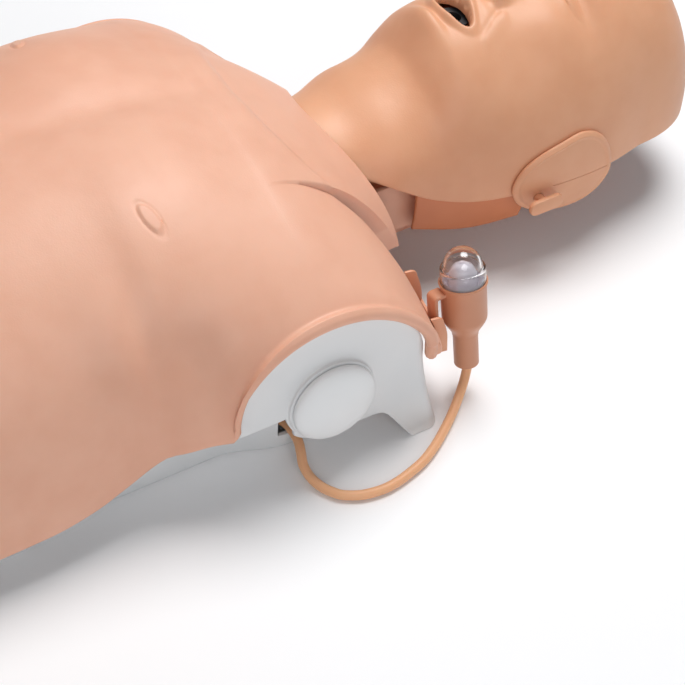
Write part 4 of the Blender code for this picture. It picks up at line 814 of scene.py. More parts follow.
def make_skin():
    shares = spaced((0.0, 0.3, 16), (0.3, 0.46, 26), (0.46, 0.5, 4), (0.5, 0.54, 14),
                    (0.54, 0.6, 8), (0.6, 0.92, 26), (0.92, 1.0, 16))
    arch_back = ARM_Y - ARM_RADIUS
    places = spaced((WAIST_Y, -128 * MM, 50), (-128 * MM, arch_back, 24))
    places += [ARM_Y - ARM_RADIUS * math.cos(math.pi / 2 * i / 34) for i in range(1, 35)]
    half = [[body_point(u, y) for u in shares] for y in places]
    starts = half[-1]
    ends = [front_edge(u) for u in shares]
    for t in spaced((0.0, 0.85, 38), (0.85, 1.0, 14))[1:]:
        row = [shoulder_point(u, t, a, b) for u, a, b in zip(shares, starts, ends)]
        for u, point in zip(shares, row):
            point.y += TIP_REACH * ease((u - 0.88) / 0.12) * ease((t - 0.3) / 0.7)
        half.append(row)
    grid = mirrored_grid(half)
    bead = bead_share(grid)
    lift = np.array([[skin_lift(*p) for p in row] for row in grid]) + BEAD_LIFT * bead
    ahead = np.linalg.norm(grid - grid[-1:], axis=2) / THIN_RUN
    inside = np.clip((THIN_HALF - np.abs(grid[..., 0])) / THIN_FADE, 0, 1)
    flange = THIN_BY * np.clip(1 - ahead, 0, 1) * inside
    mesh = sheet_shell("torso_skin", grid, SKIN_WALL + BEAD_LIFT * bead - flange, lift, square_edges=True)
    skin = piece("torso_skin", mesh, SKIN, None, "skin", "chest_skin", sharp=80)
    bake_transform(skin)


def skin_half_at(y, z):
    """Half width of the skin's outer face at a height, behind the arm's axis."""
    low, high = 0.0, 1.0
    if body_point(1.0, y).z >= z:
        return body_point(1.0, y).x
    for _ in range(SEARCH_STEPS):
        middle = (low + high) / 2
        low, high = (middle, high) if body_point(middle, y).z > z else (low, middle)
    return body_point(high, y).x


def skin_ahead(x, z):
    """How far forward the skin's outer face lies over the shoulder, at a place across and a height."""
    low_t, high_t = 0.0, 1.0
    for _ in range(PLACE_STEPS):
        t = (low_t + high_t) / 2
        low_u, high_u = COLLAR_SHARE, 1.0
        for _ in range(PLACE_STEPS):
            u = (low_u + high_u) / 2
            point = shoulder_point(u, t, body_point(u, ARM_Y), front_edge(u))
            low_u, high_u = (u, high_u) if point.x < x else (low_u, u)
        low_t, high_t = (t, high_t) if point.z > z else (low_t, t)
    return point.y


# Booleans between finished meshes, and turned and tub-shaped solids


def cut(mesh, *cutters, operation="DIFFERENCE"):
    """The mesh after exact Booleans with other closed meshes, which are used up."""
    for cutter in cutters:
        obj, tool = placed("shape", mesh), placed("tool", cutter)
        mod = obj.modifiers.new("cut", "BOOLEAN")
        mod.object, mod.operation, mod.solver = tool, operation, "EXACT"
        made = bpy.data.meshes.new_from_object(obj.evaluated_get(bpy.context.evaluated_depsgraph_get()))
        made.name = mesh.name
        bpy.data.objects.remove(obj)
        bpy.data.objects.remove(tool)
        mesh = made
    return mesh


def union(mesh, *others):
    return cut(mesh, *others, operation="UNION")


def rod_mesh(radius, length, place, steps=32):
    """A plain round rod along its own Z, centred on its place; mostly a cutter."""
    half = length / 2
    return turned_mesh("rod", [(0, -half), (radius, -half), (radius, half), (0, half)], steps, place)


def at(x, y, z):
    return Matrix.Translation((x, y, z))


ALONG_X = Matrix.Rotation(math.pi / 2, 4, "Y")
ALONG_Y = Matrix.Rotation(-math.pi / 2, 4, "X")


def rounded_box(half_x, half_y, radius, centre=(0.0, 0.0), arc=8):
    """A rounded rectangle's outline, once round."""
    points = []
    for corner in range(4):
        sign_x = 1 if corner in (0, 3) else -1
        sign_y = 1 if corner in (0, 1) else -1
        for i in range(arc + 1):
            turn = math.pi / 2 * (corner + i / arc)
            points.append((centre[0] + sign_x * (half_x - radius) + radius * math.cos(turn),
                           centre[1] + sign_y * (half_y - radius) + radius * math.sin(turn)))
    return points


def tub_mesh(name, outline_at, profile):
    """A closed tub from (spread, height) steps: up the outside, over the rim and down inside."""
    return ringed_mesh(name, [[(x, y, z) for x, y in outline_at(spread)] for spread, z in profile])


def arc_points(centre, radius, start, end, steps):
    """Points of an arc between two angles in degrees."""
    turns = [math.radians(mix(start, end, i / steps)) for i in range(steps + 1)]
    return [(centre[0] + radius * math.cos(turn), centre[1] + radius * math.sin(turn)) for turn in turns]


# White frame with its arm plates
BOSS_RADIUS = 31.5 * MM
BOSS_RIM = 36 * MM
BOSS_HEIGHT = 3 * MM
CAP_STEM = 9 * MM
CAP_RUN = 2.5 * MM
FOOT_LENGTH = 21 * MM
FOOT_SPLAY = 10 * MM
FOOT_LEAN = 7 * MM
SKIRT_Z = 34 * MM
SIDE_CUT_Z = 57 * MM
CABLE_GAP_Y = ARM_Y - 27.5 * MM
SKIRT_CLEAR = 2.5 * MM
FRAME_CORNER = 9 * MM
PLATE_RISE = 68.5 * MM
PLATE_BACK = 71 * MM
PLATE_FRONT = 74 * MM
POST_RADIUS = 6 * MM
POSTS = [(side * 118 * MM, y) for y in (-330 * MM, 5 * MM) for side in (1, -1)]
SCREW_HOLE = 2.3 * MM
BRACKET_SCREW_X = 24.5 * MM
BRACKET_SCREW_Z = 53 * MM


def side_low(y):
    """Height of the lower edge along the frame's side: it drops round the boss and then to the foot."""
    if y < CABLE_GAP_Y:
        return SIDE_CUT_Z
    if y < ARM_Y:
        return BOSS_Z - math.sqrt(BOSS_RIM ** 2 - (y - ARM_Y) ** 2)
    heel = FRAME_FRONT_Y - FOOT_LENGTH
    return (BOSS_Z - BOSS_RIM) * (1 - ease((y - heel + 16 * MM) / (16 * MM)))


def arch_top(y):
    """Height of the arm plate's edge, which stands just behind the arm opening's bead."""
    share = (y - ARM_Y) / (PLATE_FRONT if y > ARM_Y else PLATE_BACK)
    return max(SKIN_EDGE_Z + PLATE_RISE * math.sqrt(max(1 - share ** 2, 0.0)), DECK_TOP)


def frame_half_at(y):
    inner = skin_half_at(min(y, ARM_Y - ARM_RADIUS), DECK_TOP) - SKIN_WALL - SKIRT_CLEAR
    return min(mix(inner, FRAME_HALF - GAP, ease((y - ARM_Y + ARM_RADIUS) / (8 * MM))), FRAME_HALF - GAP)


def frame_outline():
    """The skirt's left half from the back's middle to the front's, as (x, y, splay, low, high)."""
    back_y = WAIST_Y + 6 * MM
    corner_x = frame_half_at(back_y) - 30 * MM
    points = [(x, back_y, 0.0, SKIRT_Z, DECK_TOP) for x in spaced((0.0, corner_x, 20))]
    side_back = ARM_Y - ARM_RADIUS - 4 * MM
    for i in range(1, 9):
        turn = math.pi / 2 * i / 9
        points.append((corner_x + (frame_half_at(back_y + 14 * MM) - corner_x) * math.sin(turn),
                       back_y + 14 * MM * (1 - math.cos(turn)), 0.0, SKIRT_Z, DECK_TOP))
    for y in spaced((back_y + 14 * MM, side_back, 60)):
        low = mix(SKIRT_Z, SIDE_CUT_Z, ease((y - side_back + 60 * MM) / (30 * MM)))
        points.append((frame_half_at(y), y, 0.0, low, DECK_TOP))
    side_start, side_end = ARM_Y - ARM_RADIUS + 5 * MM, FRAME_FRONT_Y - FRAME_CORNER
    for y in spaced((side_start, CABLE_GAP_Y - GAP, 40)) + spaced((CABLE_GAP_Y + GAP, side_end, 84)):
        low = side_low(y)
        splay = ease((y - 2 * MM) / (20 * MM)) * (1 - low / DECK_TOP)
        points.append((frame_half_at(y), y, splay, low, arch_top(y)))
    for i in range(1, 12):
        turn = math.pi / 2 * i / 12
        y = side_end + FRAME_CORNER * math.sin(turn)
        points.append((FRAME_HALF - GAP - FRAME_CORNER * (1 - math.cos(turn)), y, 1.0, 0.0, arch_top(y)))
    for x in spaced((FRAME_HALF - GAP - FRAME_CORNER, 0.0, 70)):
        inward = (FRAME_HALF - FRAME_CORNER - x) / (32 * MM)
        low = SKIRT_Z * ease((FRAME_HALF - 14 * MM - x) / (22 * MM))
        points.append((x, FRAME_FRONT_Y, max(1 - inward, 0.0), low, DECK_TOP))
    return points


def skirt_point(place, share):
    """A point of the skirt between its upper and lower edge. The foot stands out and forward."""
    x, y, splay, low, top = place
    z = mix(top, low, share)
    out = splay * (max(DECK_TOP - z, 0.0) / (DECK_TOP - low)) ** 1.5
    return x + math.copysign(FOOT_SPLAY * out, x), y + FOOT_LEAN * out, z


def waist_outline():
    """The plate that closes the waist under the skin, as (x, z)."""
    inset = SKIN_WALL + 1.5 * MM
    y = WAIST_Y + 6 * MM
    half = []
    for i in range(41):
        point = body_point(i / 40, y)
        nearby = body_point(min(i / 40 + 0.01, 1.0), y) - body_point(max(i / 40 - 0.01, 0.0), y)
        normal = Vector((-nearby.z, nearby.x)).normalized()
        x, z = point.x - normal.x * inset, point.z - normal.y * inset
        if z > DECK_TOP - 8 * MM:
            half.append((max(x, 0.0), z))
    half.append((half[-1][0], DECK_TOP - 8 * MM))
    return half + [(-x, z) for x, z in reversed(half) if x > 0]


def arm_place(side, out):
    """Where the arm's axis passes a distance out from the middle, with Z pointing out."""
    return at(side * out, ARM_Y, BOSS_Z) @ Matrix.Rotation(side * math.pi / 2, 4, "Y")


def make_frame():
    half = frame_outline()
    loop = half + [(-x, *rest) for x, *rest in half[-2:0:-1]]
    heights = spaced((0.0, 1.0, 22))
    grid = np.array([[skirt_point(place, share) for share in heights] for place in loop + loop[:1]])
    wall = sheet_shell("torso_frame", grid, FRAME_WALL, closed=True)
    deck_line = [(x, y) for x, y, *rest in loop]
    centre = Vector((0, (WAIST_Y + FRAME_FRONT_Y) / 2))
    inner = [tuple(Vector(p) + (centre - Vector(p)).normalized() * FRAME_WALL / 2) for p in deck_line]
    deck = plate_mesh("deck", inner, FRAME_WALL, at(0, 0, DECK_TOP - FRAME_WALL / 2), 0)
    waist_place = at(0, WAIST_Y + 8.05 * MM, 0) @ FACING_Y
    waist = plate_mesh("waist", waist_outline(), FRAME_WALL, waist_place, 0.8 * MM)
    mesh = union(wall, deck, waist)
    fillet = 1.6 * MM
    for side in (1, -1):
        foot = arc_points((BOSS_RADIUS + fillet, fillet), fillet, 270, 180, 6)
        crown = arc_points((BOSS_RADIUS - MM, BOSS_HEIGHT - MM), MM, 0, 90, 4)
        profile = [(0, 2 * GAP - FRAME_WALL), (BOSS_RADIUS + fillet, 2 * GAP - FRAME_WALL), *foot, *crown,
                   (0, BOSS_HEIGHT)]
        place = arm_place(side, FRAME_HALF - GAP)
        mesh = union(mesh, turned_mesh("boss", profile, 96, place))
        mesh = cut(mesh, rod_mesh(CAP_STEM + 0.4 * MM, 20 * MM, place, 48))
        hole_place = at(side * BRACKET_SCREW_X, FRAME_FRONT_Y, BRACKET_SCREW_Z) @ ALONG_Y
        mesh = cut(mesh, rod_mesh(SCREW_HOLE, 20 * MM, hole_place, 16))
    window = rounded_box(70 * MM, 105 * MM, 30 * MM, (0, PRESS_Y))
    mesh = cut(mesh, plate_mesh("window", window, 30 * MM, at(0, 0, DECK_TOP), 0))
    mesh = cut(mesh, *[rod_mesh(SCREW_HOLE, 20 * MM, at(x, y, DECK_TOP), 16) for x, y in POSTS])
    piece("torso_frame_moulding", mesh, WHITE, "torso", "white_plastic", "torso_frame")


def make_arm_caps():
    """Domed caps that stand a hair off their bosses, each on a stem."""
    dome = CAP_HIGH.x - FRAME_HALF - BOSS_HEIGHT - GAP
    edge = 0.8 * MM
    crown = [(CAP_RADIUS * math.sin(turn), CAP_RUN + (dome - CAP_RUN) * math.cos(turn))
             for turn in turns_to(math.pi / 2, 28)]
    foot = arc_points((CAP_RADIUS - edge, edge), edge, 0, -90, 4)
    stem_end = -FRAME_WALL - 4 * MM
    profile = [*crown, *foot, (CAP_STEM, 0.0), (CAP_STEM, stem_end), (0.0, stem_end)]
    for side, word in ((1, "left"), (-1, "right")):
        mesh = turned_mesh("arm_cap", profile, 112, arm_place(side, FRAME_HALF + BOSS_HEIGHT + GAP))
        piece(f"{word}_arm_cap", mesh, CAP, "torso", "white_plastic", f"arm_cap_{word}")


# Base tray
TRAY_HALF = 142 * MM
TRAY_SHOULDER = 14 * MM
SHOULDER_RUN = (-98 * MM, -48 * MM)
TRAY_WALL = 3 * MM
TRAY_CORNER = 40 * MM
TRAY_ENDS = (-360 * MM, 32 * MM)
TRAY_HEIGHT = 48 * MM
TRAY_FLARE = 8 * MM
NOTCH_LOW = 14 * MM
TRAY_FOOT_Y = -252 * MM
TRAY_FOOT = (18 * MM, 15 * MM, 10 * MM)


def tray_outline(spread):
    """The tray's edge, grown by a spread: it widens under the shoulders."""
    back, front = TRAY_ENDS[0] - spread, TRAY_ENDS[1] + spread
    half, wide = TRAY_HALF + spread, TRAY_HALF + TRAY_SHOULDER + spread
    runs = [(TRAY_CORNER * (1 - math.cos(turn)), TRAY_CORNER * (1 - math.sin(turn)))
            for turn in turns_to(math.pi / 2, 14)]
    left = [(half - out, back + on) for on, out in runs]
    left += [(mix(half, wide, ease(share)), mix(*SHOULDER_RUN, share)) for share in spaced((0.0, 1.0, 24))]
    left += [(wide - on, front - out) for on, out in runs]
    return left + [(-x, y) for x, y in reversed(left)]


def make_tray():
    rim = TRAY_WALL / 2
    bottom = [(3 * MM * math.sin(turn), 4 * MM * (1 - math.cos(turn)))
              for turn in turns_to(math.pi / 2, 6)]
    top = arc_points((TRAY_FLARE - rim, TRAY_HEIGHT - rim), rim, 0, 180, 8)
    inside = [(0.4 * MM, 6 * MM), (-0.2 * MM, 4.6 * MM), (-1.4 * MM, 3.4 * MM), (-3 * MM, TRAY_WALL)]
    mesh = tub_mesh("tray", tray_outline, [*bottom, *top, *inside])
    post_top = DECK_TOP - FRAME_WALL - GAP
    for x, y in POSTS:
        height = post_top - TRAY_WALL / 2
        post = rod_mesh(POST_RADIUS, height, at(x, y, post_top - height / 2))
        mesh = cut(union(mesh, post), rod_mesh(SCREW_HOLE, 28 * MM, at(x, y, post_top), 16))
    for side in (1, -1):
        middle = side * (TRAY_HALF - 6 * MM)
        wide, long, high = TRAY_FOOT
        mesh = union(mesh, block_mesh("foot", (middle - wide, TRAY_FOOT_Y - long, 0.0),
                                      (middle + wide, TRAY_FOOT_Y + long, high), MM))
    wall_x = TRAY_HALF + TRAY_SHOULDER
    notch = block_mesh("notch", (wall_x - 16 * MM, CABLE_GAP_Y + 0.6 * MM, NOTCH_LOW),
                       (wall_x + 30 * MM, CABLE_GAP_Y + 10.5 * MM, TRAY_HEIGHT + 10 * MM), 1.2 * MM)
    piece("tray_moulding", cut(mesh, notch), WHITE, "torso", "white_plastic", "base_tray")


# Neck bracket
BRACKET_HALF = 49 * MM
BRACKET_WALL = 4 * MM
BRACKET_LOW = 44 * MM
BRACKET_HIGH = 90 * MM
BRACKET_END_Y = 126 * MM
EAR_RADIUS = 12 * MM
PIN_RADIUS = 4 * MM
BRACKET_EDGE = 0.8 * MM


def make_bracket():
    front = FRAME_FRONT_Y + GAP
    mesh = block_mesh("bracket", (-BRACKET_HALF, front, BRACKET_LOW),
                      (BRACKET_HALF, BRACKET_END_Y, BRACKET_LOW + BRACKET_WALL), BRACKET_EDGE)
    flange = block_mesh("flange", (-BRACKET_HALF, front, SKIRT_Z + 2 * MM),
                        (BRACKET_HALF, front + BRACKET_WALL, DECK_TOP - MM), BRACKET_EDGE)
    mesh = union(mesh, flange)
    for side in (1, -1):
        outline = [(front, BRACKET_LOW), (BRACKET_END_Y, BRACKET_LOW),
                   (NECK_Y - EAR_RADIUS, NECK_Z - EAR_RADIUS)]
        outline += arc_points((NECK_Y, NECK_Z), EAR_RADIUS, -75, 90, 28)
        outline += [(BRACKET_END_Y, BRACKET_HIGH), (COLLAR_Y + 8 * MM, BRACKET_HIGH),
                    (front, DECK_TOP - MM)]
        place = at(side * (BRACKET_HALF - BRACKET_WALL / 2), 0, 0) @ FACING_X
        mesh = union(mesh, plate_mesh("wall", outline, BRACKET_WALL, place, BRACKET_EDGE))
    mesh = cut(mesh, rod_mesh(PIN_RADIUS + GAP, 4 * BRACKET_HALF, at(0, NECK_Y, NECK_Z) @ ALONG_X))
    holes = [rod_mesh(SCREW_HOLE, 20 * MM, at(x, front, BRACKET_SCREW_Z) @ ALONG_Y, 16)
             for x in (-BRACKET_SCREW_X, BRACKET_SCREW_X)]
    piece("neck_bracket_moulding", cut(mesh, *holes), SKIN, "torso", "skin", "neck_bracket")


# Head: widths, heights and the level of the widest place, against the distance along Y
HEAD_HALF = in_mm((62, 66), (98, 66.5), (120, 68.5), (148, 73),
                  (184, 81), (224, 86.5), (270, 84.5), (305, 77))
HEAD_TOP = in_mm((62, 136), (88, 146), (112, 152), (130, 161), (143, 176),
                 (156, 186), (190, 190), (240, 194), (285, 199))
HEAD_MIDDLE = in_mm((62, 104), (98, 97), (124, 88), (150, 85))
MASK_RIM = in_mm((58, 128), (79, 112), (94, 99.5), (103, 93), (120, 82), (147, 71), (171, 67.4), (380, 64))
CROWN_START = 285 * MM
UNDERSIDE = 105 * MM
NECK_TUCK = 1.5 * MM
NECK_INSET = 5.6 * MM
SKULL_START = 111 * MM
SKULL_WALL = 3 * MM
SKULL_TOP_INSET = 12.5 * MM
BAND_LOW = in_mm((111, 50), (157, 35), (198, 36))
BAND_END = 198 * MM
PEG_BAND_LOW = 50 * MM
PEG_BAND_END = 236 * MM
SKULL_LOW = 70 * MM
AIRWAY_RADIUS = 9 * MM


def head_section(y, inset_side=0.0, inset_top=0.0):
    """Half width, top and widest level of the plain head form at a place along Y."""
    end = CROWN_Y - 3 * inset_side
    share = min(max((y - CROWN_START) / (end - CROWN_START), 0.0), 1.0)
    half = (along(HEAD_HALF, y) - inset_side) * (1 - share ** 3) ** 0.4545
    rim = along(MASK_RIM, y)
    top = rim + (along(HEAD_TOP, y) - inset_top - rim) * (1 - share ** 2.6) ** 0.4545
    return half, top, mix(along(HEAD_MIDDLE, y), rim, share ** 8)


def head_side(y, z):
    """Half width of the plain head form at a height."""
    half, top, middle = head_section(y)
    reach = (z - middle) / (top - middle) if z >= middle else (middle - z) / UNDERSIDE
    return half * math.sqrt(max(1 - reach ** 2, 0.0))


def eye_height(x, y):
    """The closed eye, its lids and the brow over it, in millimetres."""
    lift = -8.0 * hill(x, y, 32, 259, 19, 11) + 7.2 * hill(x, y, 32, 256.5, 12.5, 8.5)
    lift += 3.4 * hill(x, y, 29, 274, 23, 6.5) - 1.2 * hill(x, y, 0, 264, 6, 8)
    across = (x - 32) / 14
    width = 1 - ease((abs(x - 32) - 12.5) / 4)
    seam = y - (251.8 + 3.4 * across * across)
    lift += width * (0.7 * ease(seam / 1.4) * (1 - ease((seam - 3) / 7)) - 0.9 * bell(seam / 0.9))
    fold = y - (262.6 - 2.6 * across * across)
    return lift - width * 0.7 * bell(fold / 1.4)


def nose_height(x, y):
    bridge = ease((y - 201) / 9) * (1 - ease((y - 238) / 34))
    tip = 1 - ease((y - 211) / 50)
    width = 7.4 + 4.4 * (1 - ease((y - 212) / 34))
    lift = (4.5 + 14.3 * tip) * bridge * bell(x / width)
    lift += 6.4 * hill(x, y, 12.2, 208.5, 5.4, 6.0) - 1.2 * hill(x, y, 19.5, 208, 3.0, 6.5)
    lift += 2.2 * hill(x, y, 0, 203, 2.6, 3.6) - 4.2 * hill(x, y, 6.6, 203.2, 3.0, 2.4)
    ridge = ease((y - 187) / 4) * (1 - ease((y - 199) / 4))
    return lift + ridge * (0.7 * bell((x - 4.2) / 1.8) - 1.0 * bell(x / 2.2))


def mouth_height(x, y):
    """Lips round the open mouth, and the chin under them."""
    up = y - MOUTH_Y / MM
    ring = max(math.hypot(x * MM / MOUTH_HALF[0], up * MM / MOUTH_HALF[1]), 0.05)
    past = (ring - 1) * math.hypot(x, up) / ring
    full = 1 - 0.55 * ease((x - 9) / 15)
    lift = 4.4 * full * bell((past - 4.0) / 3.5) - 0.5 * bell((past - 9) / 1.7) * full
    lift -= 3.2 * (1 - ease(past / 2.6))
    lift -= 0.9 * hill(x, y, 0, 187.5, 2.6, 2.6)
    lift += 2.6 * hill(x, y, 0, 193, 24, 6)
    lift += 6.8 * hill(x, y, 0, 153, 20, 9.5) - 2.6 * hill(x, y, 0, 161, 18, 3.4)
    return lift


def face_height(x, y):
    """Height of a plain, generic, resting face over the plain head form, in millimetres."""
    x = abs(x)
    crease = x - (17 + (206 - y) * 0.55)
    fold = ease((y - 176) / 8) * (1 - ease((y - 203) / 6))
    lift = eye_height(x, y) + nose_height(x, y) + mouth_height(x, y)
    lift += 4.0 * hill(x, y, 48, 234, 19, 18) - 3.0 * hill(x, y, 58, 196, 18, 22)
    return lift + fold * (1.1 * bell((crease - 7) / 6) - 0.9 * bell(crease / 2.6))


def head_point(share, y, rim, inset_side=0.0, inset_top=0.0, face=False):
    """A point of the left half of the head: share runs from the middle line (0) to the rim (1)."""
    half, top, middle = head_section(y, inset_side, inset_top)
    if rim >= middle:
        limit = math.acos(min((rim - middle) / max(top - middle, 0.0001), 1.0))
    else:
        limit = math.pi / 2 + math.asin(min((middle - rim) / UNDERSIDE, 1.0))
    turn = limit * share ** 1.12
    x = half * math.sin(turn)
    z = middle + math.cos(turn) * ((top - middle) if turn < math.pi / 2 else UNDERSIDE)
    if face:
        z += ease((math.cos(turn) - 0.15) / 0.45) * face_height(x / MM, y / MM) * MM
    return Vector((x, y, z))


def make_mask():
    shares = spaced((0.0, 0.56, 64), (0.56, 1.0, 26))
    half = []
    for back in spaced((0.0, 1.0, 14))[:-1]:
        row = []
        for share in shares:
            y = COLLAR_Y
            for _ in range(6):
                near = head_point(share, y, along(MASK_RIM, y))
                y = collar_y(near.x, near.z) - NECK_TUCK
            y = mix(y, SKULL_START, back)
            point = head_point(share, y, along(MASK_RIM, y), face=True)
            phi = math.atan2(point.x / COLLAR_HALF, (point.z - COLLAR_Z) / COLLAR_RISE)
            collar = Vector(((COLLAR_HALF - NECK_INSET) * math.sin(phi), y,
                             COLLAR_Z + (COLLAR_RISE - NECK_INSET) * math.cos(phi)))
            row.append(point.lerp(collar, 1 - ease(back * 1.1)))
        half.append(row)
    places = spaced((SKULL_START, 148 * MM, 18), (148 * MM, CROWN_START, 120))
    places += [mix(CROWN_START, CROWN_Y, math.sin(turn)) for turn in turns_to(math.pi / 2, 24)[1:]]
    half += [[head_point(share, y, along(MASK_RIM, y), face=True) for share in shares] for y in places]
    mesh = sheet_shell("face_mask", mirrored_grid(half), MASK_WALL, tip=True)
    hole_place = at(0, MOUTH_Y, along(HEAD_TOP, MOUTH_Y)) @ Matrix.Diagonal((*MOUTH_HALF, 1, 1))
    hole = rod_mesh(1.0, 60 * MM, hole_place, 64)
    piece("face_mask_moulding", cut(mesh, hole), MASK, "head", "mask_skin", "face_mask", sharp=60)


def make_skull():
    side = MASK_WALL + MASK_FIT
    shares = spaced((0.0, 1.0, 46))
    levels = [(y, along(BAND_LOW, y)) for y in spaced((SKULL_START, BAND_END, 40))]
    levels += [(y, PEG_BAND_LOW) for y in spaced((BAND_END + 0.8 * MM, PEG_BAND_END, 14))]
    levels += [(y, SKULL_LOW) for y in spaced((PEG_BAND_END + 0.8 * MM, CROWN_START, 18))]
    end = CROWN_Y - 3 * side
    levels += [(mix(CROWN_START, end, math.sin(turn)), SKULL_LOW)
               for turn in turns_to(math.pi / 2, 20)[1:]]
    half = [[head_point(share, y, low, side, SKULL_TOP_INSET) for share in shares] for y, low in levels]
    mesh = sheet_shell("skull_shell", mirrored_grid(half), SKULL_WALL, tip=True)
    bore = rod_mesh(PIN_RADIUS + GAP, 200 * MM, at(0, NECK_Y, NECK_Z) @ ALONG_X)
    port_place = at(0, MOUTH_Y, along(HEAD_TOP, MOUTH_Y) - SKULL_TOP_INSET)
    port = rod_mesh(AIRWAY_RADIUS + GAP, 60 * MM, port_place, 48)
    piece("skull_core", cut(mesh, bore, port), CORE, "head", "skull_plastic", "skull_shell")


# Ear tabs and the pegs that hold them
TAB_Y = 224 * MM
TAB_Z = 74 * MM
TAB_EDGE = in_mm((181.5, 76), (188, 92), (202, 102), (220, 108), (238, 111), (254, 104),
                 (265, 86), (269, 63), (259, 44), (240, 38), (212, 44), (190, 58))
TAB_THICK = 3.2 * MM
TAB_BEAD = 0.9 * MM
TAB_STEPS = 11
SLIT_ENDS = ((214 * MM, 72 * MM), (264 * MM, 71 * MM))
SLIT_DEPTH = 0.8 * MM
PEG_Y = 203 * MM
PEG_Z = 64.5 * MM
PEG_RADIUS = 3.5 * MM
PEG_SEAT = 1.2 * MM
PEG_STAND = 8.2 * MM
PEG_HEAD = (14.5 * MM, 6 * MM)
PEG_HEAD_THICK = 4.4 * MM


def tab_outline():
    """Points of the ear tab's edge as (y, z), along a smooth closed curve."""
    count = len(TAB_EDGE)
    points = []
    for i in range(count):
        near = [Vector(TAB_EDGE[(i + k) % count]) for k in (-1, 0, 1, 2)]
        points += [curve_point(*near, step / TAB_STEPS) for step in range(TAB_STEPS)]
    return points


def make_tab(side, word):
    edge = TAB_THICK / 2
    layers = [(share, 0.0, TAB_THICK) for share in spaced((0.03, 0.8, 14), (0.8, 1.0, 10))]
    rim_turns = turns_to(math.pi, 8)[1:-1]
    layers += [(1.0, edge * math.sin(turn), edge * (1 + math.cos(turn))) for turn in rim_turns]
    layers += [(share, 0.0, 0.0) for share in spaced((1.0, 0.8, 4), (0.8, 0.03, 10))]
    rings = []
    outline = tab_outline()
    centre = Vector((TAB_Y, TAB_Z))
    for share, out, height in layers:
        bead = TAB_BEAD * bell((share - 0.955) / 0.035) if height > TAB_THICK / 2 and out == 0 else 0.0
        reaches = [rim - centre for rim in outline]
        spots = [centre + reach * share + reach.normalized() * (out - edge * share) for reach in reaches]
        rings.append([(side * (head_side(*spot) + MASK_FIT + height + bead), *spot) for spot in spots])
    mesh = ringed_mesh("ear_tab", rings)
    hole = rod_mesh(PEG_RADIUS + GAP, 60 * MM, at(side * head_side(PEG_Y, PEG_Z), PEG_Y, PEG_Z) @ ALONG_X)
    ribbon = []
    for share in spaced((0.0, 1.0, 16)):
        y, z = (mix(a, b, share) for a, b in zip(*SLIT_ENDS))
        floor = head_side(y, z) + MASK_FIT + TAB_THICK - SLIT_DEPTH
        section = ((floor, -0.2), (floor + 4 * MM, -0.45), (floor + 4 * MM, 0.45), (floor, 0.2))
        ribbon.append([(side * x, y, z + rise * MM) for x, rise in section])
    mesh = cut(mesh, hole, ringed_mesh("slit", ribbon))
    piece(f"{word}_ear_tab", mesh, MASK, "head", "mask_skin", f"ear_tab_{word}", sharp=50)


def make_peg(side, word):
    seat = head_side(PEG_Y, PEG_Z) - MASK_WALL - MASK_FIT + PEG_SEAT
    post_end = head_side(PEG_Y, PEG_Z) + MASK_FIT + TAB_THICK + PEG_STAND
    post_place = at(side * (seat + post_end) / 2, PEG_Y, PEG_Z) @ ALONG_X
    post = rod_mesh(PEG_RADIUS, post_end - seat, post_place, 48)
    bar_x = side * (post_end + PEG_HEAD_THICK / 2 - 0.2 * MM)
    outline = rounded_box(*PEG_HEAD, PEG_HEAD[1] * 0.95, arc=10)
    bar = plate_mesh("peg_bar", outline, PEG_HEAD_THICK, at(bar_x, PEG_Y, PEG_Z) @ FACING_X, 1.3 * MM)
    piece(f"{word}_mask_peg", union(post, bar), MASK, "head", "mask_skin", f"mask_peg_{word}")


# Indicator lamp, its strap and the pocket that the strap hangs in
LAMP_X = SHOULDER_HALF - 18 * MM
LAMP_AHEAD = 23.6 * MM
LAMP_Z = 24 * MM
LAMP_LEAN = math.radians(9.0)
LAMP_RADIUS = 15.8 * MM
LAMP_RIM = 1.2 * MM
LAMP_CAVITY = LAMP_RADIUS - 2 * MM
SLEEVE_RADIUS = 8.8 * MM
SLEEVE_LENGTH = 26 * MM
CONE_TOP = SLEEVE_LENGTH + 16 * MM
BARREL_TOP = CONE_TOP + 28.6 * MM
LENS_HEIGHT = 27 * MM
LENS_SEAT = 2.5 * MM
LENS_DOME = 13.6 * MM
LENS_RING = 12.6 * MM
LENS_WALL = 1.8 * MM
LED_RADIUS = 9.5 * MM
HOOK_REACH = 8.9 * MM
HOOK_THICK = 2.6 * MM
HOOK_WIDTH = 11 * MM
HOOK_SHIFT = -2.5 * MM
HOOK_FIT = 1.3 * MM
POCKET_X = SHOULDER_HALF - 39 * MM
POCKET_TURN = math.radians(-9.6)
POCKET_CLEAR = 0.8 * MM
POCKET_LENGTH = 47 * MM
POCKET_DEPTH = 7.4 * MM
POCKET_WALL = 2.2 * MM
POCKET_LOW = 48 * MM
POCKET_LIP_RISE = 9 * MM
POCKET_INNER_RISE = 38 * MM
POCKET_OUTER_RISE = 33 * MM
POCKET_EDGE = 0.7 * MM
POCKET_INSET = 0.2 * MM
FIN_WIDTH = 7.8 * MM
FIN_CORNER = 5 * MM


def lamp_place():
    foot = (LAMP_X, front_edge_y(POCKET_X) + LAMP_AHEAD, LAMP_Z)
    return at(*foot) @ Matrix.Rotation(-LAMP_LEAN, 4, "Y")


